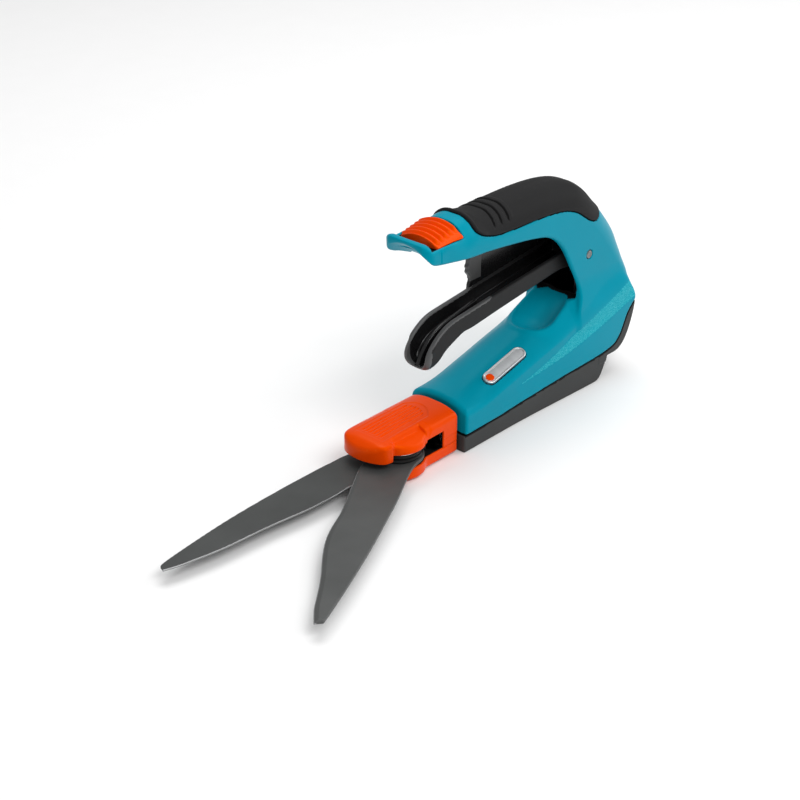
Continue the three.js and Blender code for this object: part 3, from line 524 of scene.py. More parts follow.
def arm_field(x, y, z, grow=0.0):
    """Column, gripped arm and nose as one bent bar, thickened by grow on its outside."""
    nose = smooth((x - 56) / 18)
    foot = smooth((84 - z) / 24)
    side = np.abs(y) - ARM_HALF - 3.4 * smooth((70 - z) / 22) + 0.7 * nose
    f = both(side - grow, back_flat(x, z) - grow, ARM_ROUND - 9.0 * nose - 6.0 * foot)
    corner = np.hypot(np.maximum(np.abs(y) - 9.3, 0), np.maximum(x - NOSE_FRONT, 0)) - NOSE_ROUND
    corner = np.where(x > 78, corner, -9.0)
    f = np.where(x > 76, both(f, corner, 1.4), f)
    f = both(f, -loop_flat(x, z), 1.7)
    lip = 128.6 - 0.022 * y**2 + 0.85 * (x - 88) - z
    return np.where(x > 66, both(f, lip * 0.75, 0.9), f)


def shell_field(x, y, z):
    return either(arm_field(x, y, z), body_field(x, y, z), 4.0)


SCOOP_TILT = math.radians(-33)
SCOOP_X, SCOOP_Z = -38.0, 69.0
SCOOP_R, SCOOP_RUN = 14.6, 22.0


def scoop_place(x, z):
    """Distance along the scoop's sloping axis, and out of it."""
    co, si = math.cos(SCOOP_TILT), math.sin(SCOOP_TILT)
    return (x - SCOOP_X) * co + (z - SCOOP_Z) * si, (z - SCOOP_Z) * co - (x - SCOOP_X) * si


def scoop_field(x, y, z):
    """The hollow of the saddle: a round-ended trough that runs down and forward from the column."""
    along, out = scoop_place(x, z)
    past = np.maximum(along - SCOOP_RUN, 0)
    across = y * (1.03 - 0.20 * smooth((along + 1) / 12))
    bowl = np.sqrt(past**2 + across**2 + np.minimum(out, 0) ** 2 + 1e-6) - SCOOP_R
    return np.maximum(bowl, np.maximum(out - 7, -9 - along))


def slot_floor(y):
    return SLOT_FLOOR + 2.1 * smooth((np.abs(y) - 12) / 3)


def slot_field(x, y, z):
    """The recess in the nose that the slider moves in, open at both sides."""
    ends = np.maximum(SLOT_REAR - x, x - SLOT_FRONT + 0.07 * np.abs(y))
    return np.maximum(ends, slot_floor(y) - z)


def swivel_bore(y, z, radius=SWIVEL_R):
    return np.hypot(y, z - SWIVEL_Z) - radius


def pin_bore(x, z):
    return np.hypot(x - LEVER_PIVOT[0], z - LEVER_PIVOT[1]) - 2.8


BADGE_X, BADGE_Y = 18.5, 12.4
BADGE_HALF, BADGE_REACH = 4.1, 12.9  # half width of the pill, and from its middle to its round ends
BADGE_PITCH, BADGE_ROLL = 0.235, -0.36
BADGE_Z = float(top_height(np.array([BADGE_X]), np.array([BADGE_Y]))[0])


def badge_place(x, y, z):
    """Coordinates in the badge's own plane: along, across and out of it."""
    cp, sp = math.cos(BADGE_PITCH), math.sin(BADGE_PITCH)
    cr, sr = math.cos(BADGE_ROLL), math.sin(BADGE_ROLL)
    x, y, z = x - BADGE_X, y - BADGE_Y, z - BADGE_Z
    out = x * sp + z * cp
    return x * cp - z * sp, y * cr + out * sr, out * cr - y * sr


def badge_pill(along, across):
    return np.hypot(np.maximum(np.abs(along) - BADGE_REACH, 0), across) - BADGE_HALF


def badge_seat(x, y, z):
    along, across, out = badge_place(x, y, z)
    return np.maximum(badge_pill(along, across) - 0.35, np.abs(out) - 3.0)


def housing_field(x, y, z):
    """The shell with its rooms, mouth, bores and seats cut out."""
    scoop = scoop_field(x, y, z)
    bead = 0.9 * np.exp(-(((scoop - 1.2) / 2.6) ** 2)) * (z < 62)
    f = less(shell_field(x, y, z) - bead, scoop, 1.6)
    f = both(f, seam_flat(x, z) + SEAM_GAP, 0.5)
    f = less(f, both(lower_cavity(x, z), np.abs(y) - BODY_IN, 2.0), 0.4)
    in_arm = np.maximum(smooth((x + 44) / 20), smooth((z - 90) / 10))
    room = both(column_cavity(x, z), np.abs(y) - SHELL_IN + in_arm, 1.0 + 8.0 * in_arm)
    mouth = both(arm_mouth(x, z), np.abs(y) - SHELL_IN - 0.9 * smooth((104 - z) / 40), 1.0)
    f = less(less(f, room, 0.4), mouth, 0.8)
    f = less(f, both(swivel_bore(y, z, 9.3), 50 - x, 0.2), 0.5)
    f = less(f, pin_bore(x, z), 0.3)
    f = less(f, slot_field(x, y, z), 0.5)
    f = less(f, np.maximum(grip_flat(x, z) - 0.3, -arm_field(x, y, z) - 3.3), 0.35)
    return less(f, badge_seat(x, y, z), 0.3)


housing = sculpt("housing_shell", housing_field, (-98, -26, 8), (91, 26, 136), fineness(0.7),
                 [teal, painted_shade, teal_dotted], "body", ("housing",))


def housing_paint(x, y, z):
    """Teal outside with a dotted stripe, and black painted shade inside, in the grip's seat and in the
    throat behind the scoop.
    """
    scoop = scoop_field(x, y, z)
    slot_side = (x > 55) & (z > 120) & (np.abs(y) > 14.4)
    # Faces deep in the shell, the strip under the grip's edge and the scoop's throat are painted black as
    # shade.
    deep = (shell_field(x, y, z) < -1.3) & (scoop > 0.6) & ~slot_side
    bed = (np.abs(z - SLOT_FLOOR) < 0.5) & (x > 56) & (x < 76)
    edge = 1.2 + 0.22 * np.maximum(y - 4, 0)
    throat = (scoop_place(x, z)[0] < edge) & (scoop < 0.9) & (np.abs(y) < 16.2) & (z < 80)
    painted_shade_area = deep & ~bed | (grip_flat(x, z) < 0.4) | throat
    low, top = line(x, STRIPE_LOW) + 0.1, line(x, STRIPE_TOP) - 0.1
    stripe = (z > low) & (z < top) & (np.abs(y) > 19) & (x < 20)
    return np.where(painted_shade_area, 1, np.where(stripe, 2, 0))


paint(housing, housing_paint)

# ---- Soft grip ------------------------------------------------------------------------------
GROOVES = (31.0, 25.0, 19.0)
GRIP_DEEP = 3.0


def grip_field(x, y, z):
    """A soft skin on the arm, with a raised collar, a trough behind it and curved grooves."""
    zone = grip_flat(x, z)
    collar = 1.0 * np.exp(-(((zone + 1.5) / 1.2) ** 2)) * smooth((x - 38) / 8)
    trough = 0.5 * np.exp(-(((zone + 5.0) / 2.4) ** 2)) * smooth((x - 34) / 8)
    f = arm_field(x, y, z, 0.4) - collar + trough
    for g in GROOVES:
        bow = x - g - 0.013 * (y - 1) ** 2
        ends = smooth((16.0 - y) / 3) * smooth((y + 15.0) / 3)
        f = f + 1.3 * smooth((0.95 - np.abs(bow)) / 0.7) * ends
        f = f - 0.45 * np.exp(-(((bow + 2.3) / 1.2) ** 2)) * ends
    f = both(f, zone + 0.25, 0.8)
    return less(f, arm_field(x, y, z) + GRIP_DEEP, 0.3)


sculpt("grip_cover", grip_field, (-74, -20, 98), (53, 20, 139), fineness(0.6), rubber, "body",
       ("soft_grip",))

# ---- Bottom cover and bumper ------------------------------------------------------------------
tray_flat = flat([(61.6, 0), (61.6, 10.2), *SEAM[1:5], (-63.8, 16.6), (-66.6, 13.6, 1.0), (-62.6, 5, 4),
                  (-58.8, 0, 4)])
tray_hollow = flat([(59.4, 2.5), (59.4, 30), (-62.8, 30), (-61.2, 20), (-57.0, 2.5)])
POSTS = [(33, 13.4), (33, -13.4), (-38, 13.6), (-38, -13.6)]


def tray_field(x, y, z):
    """The tray that closes the body from below, with its screw posts and the bumper behind."""
    f = both(tray_flat(x, z), np.abs(y) - flank(x, z) + 0.1, 1.0)
    bumper = both(body_field(x, y, z) + 0.05, -seam_flat(x, z), 0.6)
    bumper = both(both(bumper, x + 58, 0.4), 11.0 - z, 0.2)
    f = either(f, bumper, 0.8)
    f = less(f, both(tray_hollow(x, z), np.abs(y) - 18.2, 1.0), 0.4)
    for px, py in POSTS:
        r = np.hypot(x - px, y - py)
        post = both(r - 4.3, both(1 - z, z - 15.2, 0.2), 0.2)
        f = either(f, post, 0.6)
        f = less(f, both(r - SCREW_HEAD, z - 3.1, 0.1), 0.3)
        f = less(f, r - SCREW_SHANK, 0.2)
    return less(f, both(swivel_bore(y, z), 50 - x, 0.2), 0.3)


tray = sculpt("tray", tray_field, (-98, -25, -1), (63, 25, 48), fineness(0.7),
              [tray_grey, painted_shade], "body", ("bottom_cover",))


def tray_paint(x, y, z):
    """The parting face under the shell is painted black as shade, so the seam reads as a thin dark line."""
    return np.where((np.abs(seam_flat(x, z)) < 0.65) & (x < 61), 1, 0)


paint(tray, tray_paint)

# ---- Lever -------------------------------------------------------------------------------------
lever_flat = flat([(-60, 76, 3), (-51, 74.8, 4), (-33, 76.2, 5), (-15.8, 74.1, 6), (20, 69.9, 6),
                   (44, 66.8, 5), (50, 67.0, 3), (58, 63.8, 6), (66, 60.4, 6), (71.5, 54.0, 5),
                   (76, 51.0, 4), (80.8, 54.4, 4), (80.4, 61.5, 6), (77, 67, 6), (70.5, 72.6, 6),
                   (62, 76.8, 6), (16, 81.7, 6), (-32.3, 86.4, 6), (-44, 89.6, 5), (-56, 90.2, 3),
                   (-59.4, 84, 3)])
channel_flat = flat([(-46, 80, 2), (-33, 79, 4), (-15.8, 77, 5), (20, 72.8, 5), (48, 69.4, 5),
                     (61, 66.4, 5), (68, 62.6, 5), (73.5, 55.0, 2), (95, 51.0), (95, 110), (-40, 110),
                     (-46, 92)])
rib_flat = flat([(30, 68), (74, 50), (79.6, 52), (77.6, 58.6, 4), (70.5, 67.4, 5), (60, 72.6, 6),
                 (30, 78)])
fin_flat = flat([(-36, 78), (28, 70), (27.4, 83, 2), (25.4, 86.6, 2), (28.6, 90.4, 0.5), (27.8, 92.2, 0.5),
                 (28.8, 93.7, 0.5), (27.6, 95.6, 0.5), (27.4, 98.4, 1), (23, 101, 1), (16, 102.6, 1),
                 (14, 100.6, 0.5), (6, 103.2, 3), (-12, 104.0, 6), (-34, 94.4, 5)], step=0.25)
tail_flat = flat([(-50, 75, 3), (-62, 75.6, 4), (-71, 75.2, 3), (-75, 78.4, 2), (-74.6, 83, 3),
                  (-68, 85.6, 3), (-56, 90, 3), (-50, 90)])
FIN_Y, FIN_HALF = -8.6, 1.1
CATCH_X = 17.5  # the fin is thicker in front of this, where it carries the catch


def cup(y, z, half):
    """Distance to the side walls, which close to a half circle below CUP_Z."""
    return np.hypot(y, np.minimum(z - CUP_Z, 0)) - half


def lever_field(x, y, z):
    """A channel open at the top, with a centre rib, a fin on one wall and a forked tail."""
    body = lever_flat(x, z)
    low = smooth((78.5 - 0.125 * x - z) / 3)
    f = both(body, cup(y, z, LEVER_HALF), 0.8 + 1.6 * low)
    f = less(f, both(channel_flat(x, z), cup(y, z, CHANNEL_HALF), 1.2), 0.8)
    rib = both(rib_flat(x, z), np.abs(y) - 1.25, 0.7)
    f = either(f, both(both(rib, body + 0.8, 0.3), cup(y, z, 8.0), 0.3), 1.2)
    catch = 0.4 * smooth(x - CATCH_X) * smooth(z - 85) * smooth(100 - z)
    f = either(f, both(fin_flat(x, z), np.abs(y - FIN_Y + catch) - FIN_HALF - catch, 0.4), 0.7)
    f = less(f, both(np.abs(x + 61.8) - 4.2, np.abs(y) - 2.5, 0.2), 0.3)
    f = either(f, both(tail_flat(x, z), np.abs(np.abs(y) - 4.5) - 2.0, 0.4), 0.3)
    f = less(f, pin_bore(x, z), 0.3)
    return less(f, np.hypot(x + 70, z - 79.7) - 2.2, 0.3)


lever = sculpt("squeeze_lever", lever_field, (-77, -11, 49), (83, 11, 105), fineness(0.5),
               [black, lever_side, lever_rim_highlight], "lever", ("lever",))


def lever_paint(x, y, z):
    """Glossy black inside, textured grey outside, and a lighter rim: a painted highlight where its top faces
    the light, with worn edges.
    """
    wall, edge = cup(y, z, LEVER_HALF), lever_flat(x, z)
    on_fin = (z > 84.2 - 0.11 * x) & (fin_flat(x, z) < 1) & (y < -3)
    catch = on_fin & (x > CATCH_X) & (z < 100) & (z > 84.5)
    # rim: the walls' top edges and the tip, painted lighter as highlight.
    rim = (edge > -1.0) & (wall > -3.4) & (z > CUP_Z + 0.4 * (78 - x)) | (x > 77) & (wall > -3.4)
    outside = (wall > -1.6) | (edge > -0.6) | catch
    return np.where(on_fin & ~catch, 0, np.where(rim, 2, np.where(outside, 1, 0)))


paint(lever, lever_paint)

# ---- Latch bar ----------------------------------------------------------------------------------


def latch_field(x, y, z):
    """A flat bar with a pad under the slider and a cross tab at its rear end."""
    height = np.abs(z - 118.1) - 1.3
    bar = both(np.abs(x - 39.8) - 30.2, np.abs(y - 2.9) - 1.7, 0.4)
    pad = both(np.abs(x - 66) - 4, np.abs(y) - 6, 0.8)
    tab = both(np.abs(x - 11) - 1.5, np.abs(y + 0.9) - 5.5, 0.4)
    return both(either(either(bar, pad, 1.0), tab, 0.6), height, 0.4)


sculpt("lock_bar", latch_field, (8, -8, 116), (71, 8, 120.5), 0.6, black, "slider", ("latch_bar",))

# ---- Lock slider ----------------------------------------------------------------------------------


def slider_field(x, y, z):
    """A domed button with cross ribs, and the key under it that carries the latch bar."""
    crown = 135.0 - 0.2 * (x - 60.5) - 0.0195 * y**2
    wave = 0.5 + 0.5 * np.cos(2 * np.pi * (x - 60.9) / RIB_PITCH)
    rib = 1.5 * wave**0.8 * smooth((12.2 - y) / 3.5) * smooth((y + 16.5) / 1.5) * smooth((79 - x) / 1)
    top = z - crown + 1.25 - rib
    f = both(top * 0.72, np.abs(y) - 15.5, 0.9)
    f = both(f, np.maximum(SLOT_REAR + 1.0 - x, x - 78.2 + 0.004 * y**2), 0.8)
    f = both(f, slot_floor(y) + 0.4 - z, 0.3)
    key = both(both(np.abs(x - 67.5) - 3.3, np.abs(y) - 4, 0.3), both(119.8 - z, z - 127, 0.2), 0.2)
    return np.minimum(f, key)


sculpt("lock_button", slider_field, (57.5, -17, 119), (80.5, 17, 137.5), fineness(0.36), orange,
       "slider", ("lock_slider",))

# ---- Head -----------------------------------------------------------------------------------------
PX, PY = PIVOT
cover_plan = flat([(63.8, -16.9, 1.5), (108, -17.4, 8), (119.6, -16.6, 6), (124.4, -11.4, 6),
                   (125.8, -1, 8), (123.4, 9, 5), (119.8, 14.6, 3), (114.4, 15.4, 1.0), (112.6, 13.6, 1.2),
                   (109.9, 16.6, 3), (104.8, 19.6, 4), (99.5, 20.5, 4), (94.4, 19.9, 4), (90.4, 17.4, 3),
                   (63.8, 16.9, 1.5)], step=0.25)
cover_hollow = flat([(66.8, -14.7, 1), (107, -15.2, 4), (117, -14.2, 3), (120.4, -10, 4), (121.6, -1, 5),
                     (119.4, 8, 3), (116.4, 12.2, 2), (114.0, 13.0, 1), (112.2, 11.8, 2), (107.2, 16.6, 3),
                     (99.5, 19.1, 4), (91.6, 16.9, 3), (88, 14.7), (66.8, 14.7, 1)], step=0.25)
crown_flat = flat([(-24, 0), (24, 0), (24, 20.6), (20, 22.6), (16.6, 24.7, 3), (12, 26.5, 4), (6, 27.6, 4),
                   (-6, 27.6, 4), (-12, 26.5, 4), (-16.6, 24.7, 3), (-20, 22.6), (-24, 20.6)], step=0.25)
brow_flat = flat([(50, 0), (50, 27.9), (104, 27.9, 10), (120.4, 25.9, 3), (124.8, 22.0, 2.5),
                  (126.2, 17, 2), (126.8, 0)], step=0.25)
GUTTERS = (-7.8, -5.2, -2.6, 0.0, 2.6, 5.2)


def cover_room(x, y, z):
    """The room in the cover for the blades' discs, and behind it for the yoke."""
    roof = z - 22.6 + 2.6 * smooth((y - 9.5) / 6)
    return np.minimum(both(cover_hollow(x, y), roof, 1.5),
                      both(both(np.abs(y) - 14.7, np.abs(x - 80.9) - 14.1, 0.8), z - 22.6, 0.8))


def panel_drop(x, y):
    """Depth of the sunk panel on top, with its lengthwise gutters."""
    arc = 72.6 + 0.055 * (y + 2) ** 2
    inset = smooth((x - arc) / 0.7) * smooth(10.6 - np.abs(y + 1)) * smooth((117 - x) / 1.5)
    gutters = sum(np.exp(-(((y - g) / 0.58) ** 2)) for g in GUTTERS)
    return 0.4 * inset + gutters * smooth((x - arc - 3.5) / 1.5) * smooth((115 - x) / 2)


def cover_field(x, y, z):
    """The upper half of the head: a domed cover with a brow in front and a lobe over the pivot."""
    drop = panel_drop(x, y)
    lobe = 2.2 * smooth((y - 10.5) / 2.2) * smooth((14.5 - np.abs(x - 99.5)) / 3)
    top = crown_flat(y, z + drop + lobe)
    shape = both(cover_plan(x, y), brow_flat(x, z), 1.6)
    shape = both(shape, top, 2.0)
    skirt = both(shape, 13.7 + 1.2 * smooth((x - 104) / 9) - z, 0.5)
    rear = both(both(np.abs(y) - 16.9, crown_flat(y, z + drop), 2.0), np.abs(x - 76.8) - 13.0, 0.8)
    f = either(skirt, both(rear, 8.15 - z, 0.35), 0.5)
    f = less(f, cover_room(x, y, z), 0.4)
    lift = both(both(np.abs(x - 101.0) - 13.0, 10.6 - y, 0.8), z - 17.3, 0.5)
    f = less(f, lift, 0.5)
    window = both(both(np.abs(x - 82.4) - 7.0, 12.8 - y, 0.3), np.abs(z - 13.0) - 5.7, 0.4)
    f = less(f, window, 0.3)
    return less(f, both(swivel_bore(y, z), x - 70, 0.2), 0.4)


cover = sculpt("head_cover", cover_field, (62.5, -19, 7), (127.5, 22, 29.5), fineness(0.42),
               [orange, painted_shade], "head", ("head_upper_cover",))


def cover_paint(x, y, z):
    """Orange outside, with black painted shade inside."""
    deep = (cover_plan(x, y) < -1.2) & (crown_flat(y, z) < -3.2) & (brow_flat(x, z) < -1.6)
    return np.where(deep & (x > 65) & ((z > 14.4) | (x < 90)), 1, 0)


paint(cover, cover_paint)

lower_plan = flat([(63.8, -16.9, 1), (108, -17.4, 8), (117, -14.6, 7), (119, -2, 7), (115, 11, 5),
                   (109, 18, 6), (101, 20.5, 6), (94, 19.6, 5), (89.6, 16.9, 2), (63.8, 16.9, 1)], step=0.25)
lower_hollow = flat([(66.8, -14.6, 1), (80, -14.6, 1), (86, -9.6, 2), (110, -9.6, 2), (110, 2.4, 2),
                     (95, 2.4, 2), (86, 4, 2), (80, 14.6, 1), (66.8, 14.6, 1)], step=0.25)
seat_flat = flat([(85, -12, 3), (100, -14, 2), (106, -22), (130, -22), (130, 13.4), (110, 14.4, 4),
                  (104.5, 18, 4), (94.5, 18, 4), (88, 13.6, 4), (85, 6, 4)], step=0.25)
HEAD_POSTS = [(70.6, 11), (70.6, -11)]


def lower_field(x, y, z):
    """The lower half of the head: a tray with a seat for the fixed blade and two screw posts."""
    f = both(lower_plan(x, y), 1 - z, 1.6)
    f = both(f, z - 7.85, 0.4)
    f = less(f, both(lower_hollow(x, y), 3 - z, 0.5), 0.3)
    f = less(f, both(seat_flat(x, y), 6.2 - z, 0.3), 0.3)
    for hx, hy in HEAD_POSTS:
        r = np.hypot(x - hx, y - hy)
        f = either(f, both(r - 3.9, both(2 - z, z - 7.85, 0.2), 0.2), 0.3)
        f = less(f, np.minimum(both(r - 3.3, z - 3.3, 0.1), r - SCREW_SHANK), 0.25)
    r = np.hypot(x - PX, y - PY)
    f = less(f, np.minimum(both(r - 6.6, z - 3.2, 0.1), r - BOLT_R), 0.4)
    return less(f, both(swivel_bore(y, z, 12.3), x - 66.8, 0.2), 0.3)


base = sculpt("head_base", lower_field, (62.5, -19, 0), (121, 22, 9), fineness(0.42),
              [orange, painted_shade], "head", ("head_lower_shell",))
# The inside of the lower half is painted black as shade.
paint(base, lambda x, y, z: np.where((lower_plan(x, y) < -1.0) & (z > 2.4), 1, 0))

# ---- Blades ---------------------------------------------------------------------------------------
# Outlines in the blade's own plane, from its pivot: u to the tip, v across.
FIXED_EDGE = [(5, 11.8), (17, 7.6), (30, 4.6), (41, 3), (50.5, 3.5), (61, 3.4), (72.5, 2.8), (83, 1.5),
              (93, 0.2), (103.5, -0.8), (114, -1.5), (124, -2.2), (134, -3.6), (143, -5.3), (152, -7.1),
              (160.6, -9.8)]
FIXED_BACK = [(159, -12.6), (155.5, -14.9), (130.5, -18.3), (106.5, -20.7), (82.5, -22), (58.5, -22.5),
              (34, -22.4), (14, -20.8), (-4, -12.2)]
MOVING_BACK = [(160.6, 3.1), (150.4, 4.4), (129, 6.5), (107, 8.3), (84, 9.7), (60.7, 10.6), (48, 11.1),
               (16, 11.2), (4, 13.8)]
MOVING_EDGE = [(0, -14.2), (12, -15.2), (20, -16.2), (26, -16.5), (37, -16.1), (55, -15.1), (67, -14.8),
               (79, -15.5), (90.5, -15.4), (101.5, -13.9), (112, -11.7), (122, -9.3), (132.5, -7.3),
               (142.6, -5.8), (152, -4.3), (162.6, -1.4)]


def blade_piece(name, first, second, root_r, z0, heading, edge, ground_low, body, node):
    """A ground blade: flat on one face, with the bevel along its edge on the other."""
    shape = Flat(np.r_[spline(first), spline(second)], pad=4, step=0.2)
    run = spline(edge)
    keen = Flat(np.r_[run, run[::-1] + (0, 40 if np.mean(run[:, 1]) < -5 else -40)], pad=10, step=0.2)
    co, si = math.cos(heading), math.sin(heading)
    pin = (DRIVE_PIN[0] - PX, DRIVE_PIN[1] - PY)
    pin = (pin[0] * co + pin[1] * si, -pin[0] * si + pin[1] * co)

    def field(u, v, z):
        outline = np.minimum(shape(u, v), np.hypot(u, v) - root_r)
        near = np.clip((2.6 + keen(u, v)) / 2.6, 0, 1) * smooth((u - 18) / 14)
        bevel = 1.15 * near
        upper = (z - z0 - BLADE_T + (0 if ground_low else bevel)) * 0.93
        lower = (z0 - z + (bevel if ground_low else 0)) * 0.93
        f = both(both(outline, upper, 0.22), lower, 0.22)
        f = less(f, np.hypot(u, v) - BOLT_R, 0.15)
        if body == "blade":
            return less(f, np.hypot(u - pin[0], v - pin[1]) - 2.3, 0.15)
        return less(f, both(np.abs(u) - 5.3, np.abs(v + 8.8) - 2.8, 1.0), 0.15)

    box = np.r_[spline(first), spline(second), [(-root_r, -root_r), (root_r, root_r)]]
    lo, hi = box.min(0) - 1, box.max(0) + 1
    v, q, nrm = surface(field, (*lo, z0 - 1), (*hi, z0 + BLADE_T + 1), fineness(0.42))
    turn = np.array([[co, si, 0], [-si, co, 0], [0, 0, 1]])
    # The upper blade gets the lighter copy of the coating, as painted light.
    coat = blade_coat_lit if body == "blade" else blade_coat
    ob = make(name, v @ turn + (PX, PY, 0), q, [coat, ground], body, (node,), nrm @ turn)
    u, across = v[q].mean(1)[:, :2].T
    bright = (keen(u, across) > -0.55) & (u > 24) & (np.abs(shape(u, across)) < 0.8)
    ob.data.polygons.foreach_set("material_index", bright.astype(np.int32))


blade_piece("lower_blade", FIXED_EDGE, FIXED_BACK, 13.0, FIXED_Z, 0.0, FIXED_EDGE, True, "head",
            "fixed_blade")
blade_piece("upper_blade", MOVING_BACK, MOVING_EDGE, 14.4, MOVING_Z, BLADE_OPEN, MOVING_EDGE, False,
            "blade", "moving_blade")

# ---- Badge ----------------------------------------------------------------------------------------


def plate_field(x, y, z):
    """A metal pill with a raised rim and a raised dot at its front end."""
    along, across, out = badge_place(x, y, z)
    pill = badge_pill(along, across)
    dish = 0.4 * smooth((-pill - 0.75) / 0.35)
    dot = 0.3 * smooth((2.35 - np.hypot(along - BADGE_REACH, across)) / 0.3)
    return both(both(pill, out - 0.9 + dish - dot, 0.35), -1.2 - out, 0.2)


badge = sculpt("badge_plate", plate_field, (-1, 6, 26), (38, 19, 42), fineness(0.28),
               [silver, badge_face, orange], "body", ("badge",))


def badge_paint(x, y, z):
    """A silver rim, a darker face and an orange dot."""
    along, across, _ = badge_place(x, y, z)
    dot = np.hypot(along - BADGE_REACH, across) < 2.5
    return np.where(dot, 2, np.where(badge_pill(along, across) < -0.95, 1, 0))


paint(badge, badge_paint)

# ---- Turned steel parts ----------------------------------------------------------------------------


SEGMENTS, EDGE_ANGLE = 96, 35  # points round a turned part, and the angle from which an edge is sharp


def turned(name, profile, at, along, finish, body, node):
    """A solid of revolution: profile of (radius, height) along an axis through a point."""
    verts, faces = [], []
    for r, h in profile:
        for k in range(SEGMENTS):
            t = 2 * math.pi * k / SEGMENTS
            c, s = r * math.cos(t), r * math.sin(t)
            verts.append({"x": (h, c, s), "y": (s, h, c), "z": (c, s, h)}[along])
    verts = np.array(verts) + np.array(at, float)
    n = len(profile)
    closed = profile[0][0] > 0
    for i in range(n if closed else n - 1):
        j = (i + 1) % n
        for k in range(SEGMENTS):
            m = (k + 1) % SEGMENTS
            faces.append((i * SEGMENTS + k, i * SEGMENTS + m, j * SEGMENTS + m, j * SEGMENTS + k))
    if not closed:
        faces.append(tuple(range(SEGMENTS))[::-1])
        faces.append(tuple((n - 1) * SEGMENTS + k for k in range(SEGMENTS)))
    ob = make(name, verts, faces, finish, body, (node,))
    bm = bmesh.new()
    bm.from_mesh(ob.data)
    bmesh.ops.remove_doubles(bm, verts=bm.verts, dist=1e-7)
    bmesh.ops.recalc_face_normals(bm, faces=bm.faces)
    bm.to_mesh(ob.data)
    bm.free()
    ob.data.set_sharp_from_angle(angle=math.radians(EDGE_ANGLE))


AXLE = [(0, -17.0), (1.9, -17.0), (2.3, -16.8), (2.5, -16.4), (2.5, 16.4), (2.3, 17.1), (1.9, 17.35),
        (1.2, 17.2), (0, 17.1)]
LOW_DISC = [(3.3, 11.1), (12.6, 11.1), (13.4, 11.4), (13.75, 12.2), (13.4, 13.1), (12.6, 13.4), (3.3, 13.4)]
TOP_DISC = [(3.3, 13.7), (12.4, 13.7), (13.2, 13.9), (13.45, 14.6), (13.2, 15.5), (12.4, 15.8), (3.3, 15.8)]
WASHER = [(3.3, 16.1), (13.4, 16.1), (13.65, 16.3), (13.65, 16.8), (13.4, 17.0), (3.3, 17.0)]
turned("lever_axle", AXLE, (LEVER_PIVOT[0], 0, LEVER_PIVOT[1]), "y", pin_steel, "body", "lever_pin")
turned("spacer_disc_lower", LOW_DISC, (PX, PY, 0), "z", gloss_black, "head", "bearing_disc_lower")
turned("spacer_disc_upper", TOP_DISC, (PX, PY, 0), "z", gloss_black, "head", "bearing_disc_upper")
turned("spring_washer", WASHER, (PX, PY, 0), "z", steel, "head", "steel_washer")


def screw(name, at, reach, turned_by, body, node):
    """A domed screw head with a cross slot, looking down, and its shank up to reach."""
    co, si = math.cos(turned_by), math.sin(turned_by)

    def field(x, y, z):
        r = np.hypot(x, y)
        head = both(r - 3.05, both(0.75 - z + 0.05 * r**2, z - 2.9, 0.25), 0.35)
        shank = both(r - 1.45, both(2.0 - z, z - reach, 0.2), 0.3)
        a, b = np.abs(x * co + y * si), np.abs(y * co - x * si)
        cross = np.minimum(both(a - 1.7, b - 0.36, 0.1), both(b - 1.7, a - 0.36, 0.1))
        return less(either(head, shank, 0.3), both(cross, z - 1.9, 0.1), 0.12)

    v, q, nrm = surface(field, (-3.6, -3.6, 0), (3.6, 3.6, reach + 1), 0.3)
    make(name, v + np.array(at, float), q, steel, body, (node,), nrm)


for i, (px, py) in enumerate(POSTS):
    screw(f"case_screw_{i + 1}", (px, py, 0), 22, 0.4 + 0.9 * i, "body", f"body_screw_{i + 1}")
for i, (px, py) in enumerate(HEAD_POSTS):
    screw(f"cover_screw_{i + 1}", (px, py, 0.8), 15, 1.1 + 0.8 * i, "head", f"head_screw_{i + 1}")

# ---- CAD pieces that keep their shape ---------------------------------------------------------------
KEPT = {
    steel: ("tail_pin", "lever_spring", "crank_pin", "link_pin", "rod_pin", "pull_rod", "sleeve_clip",
            "detent_plunger", "drive_pin", "pivot_bolt", "pivot_nut"),
    zinc: ("drive_link", "bell_crank", "drive_yoke"),
    gloss_black: ("swivel_sleeve",),
}
for finish, nodes in KEPT.items():
    for node in nodes:
        slots = bpy.data.objects[node].data.materials
        slots.clear()
        slots.append(finish)

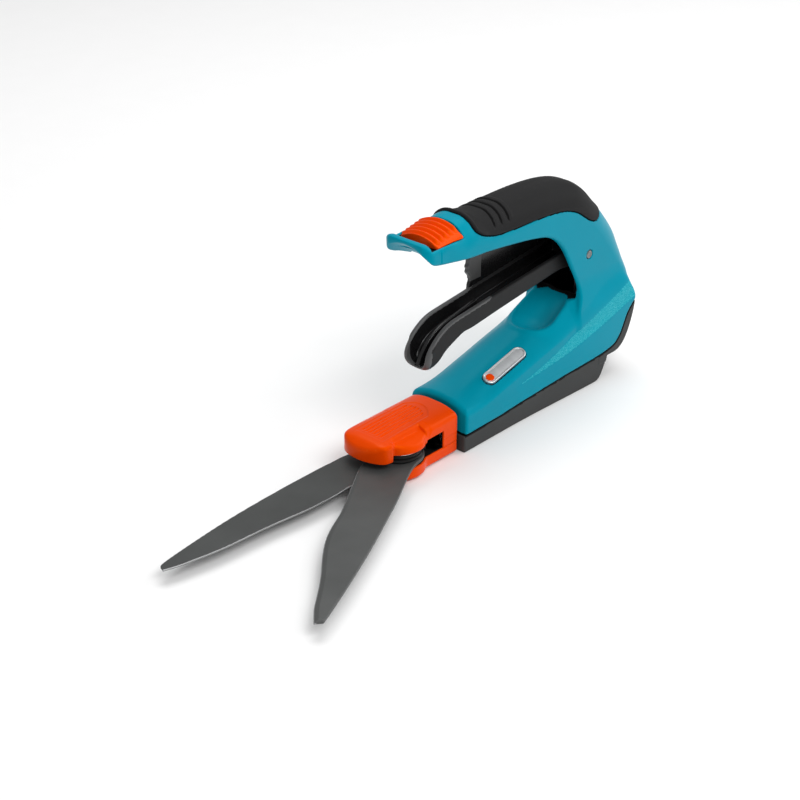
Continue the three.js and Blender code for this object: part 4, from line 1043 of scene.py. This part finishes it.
# ---- Stage, light and camera (metres) -----------------------------------------------------
FLOOR = 6.0
VIEW_TURN, VIEW_RISE, VIEW_FAR = math.radians(42.5), math.radians(28.5), 1.047
VIEW_AIM = Vector((0.040, -0.0481, 0.0))

scene = bpy.context.scene
scene.view_settings.view_transform = "Standard"
floor_mesh = bpy.data.meshes.new("floor")
floor_mesh.from_pydata([(FLOOR * u, FLOOR * v, 0) for u, v in ((-1, -1), (1, -1), (1, 1), (-1, 1))], [],
                       [(0, 1, 2, 3)])
floor = bpy.data.objects.new("floor", floor_mesh)
scene.collection.objects.link(floor)
floor_mesh.materials.append(material("floor_white", (0.9, 0.9, 0.9), 0.9, spread=0.004, grain=40, bump=0.01,
                                     specular=0.1))
floor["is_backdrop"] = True

scene.world = bpy.data.worlds.new("studio")
scene.world.use_nodes = True
sky = scene.world.node_tree.nodes["Background"].inputs
sky["Color"].default_value = (1, 1, 1, 1)
sky["Strength"].default_value = 0.45


def lamp(name, place, aim, size, power):
    """A rectangular soft box at place that shines at aim."""
    data = bpy.data.lights.new(name, "AREA")
    data.shape = "RECTANGLE"
    data.size, data.size_y = size
    data.energy = power
    ob = bpy.data.objects.new(name, data)
    ob.location = place
    ob.rotation_euler = (Vector(aim) - Vector(place)).to_track_quat("-Z", "Y").to_euler()
    scene.collection.objects.link(ob)


lamp("key", (0.3, 1.2, 1.5), (0, 0, 0.05), (1.2, 0.8), 16)
lamp("top", (-0.4, -0.3, 1.6), (0.03, 0, 0.05), (1.4, 1.0), 14)
lamp("rim", (-1.1, 0.6, 0.7), (-0.02, 0, 0.07), (0.6, 0.8), 4)

level = math.cos(VIEW_RISE)
way = Vector((level * math.cos(VIEW_TURN), level * math.sin(VIEW_TURN), math.sin(VIEW_RISE)))
lens = bpy.data.cameras.new("camera")
lens.lens = 80
lens.clip_end = 50
camera = bpy.data.objects.new("camera", lens)
camera.location = VIEW_AIM + way * VIEW_FAR
camera.rotation_euler = (-way).to_track_quat("-Z", "Y").to_euler()
scene.collection.objects.link(camera)
scene.camera = camera

[[list(map(float, p)) for p in b] for b in (cad_box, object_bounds())]
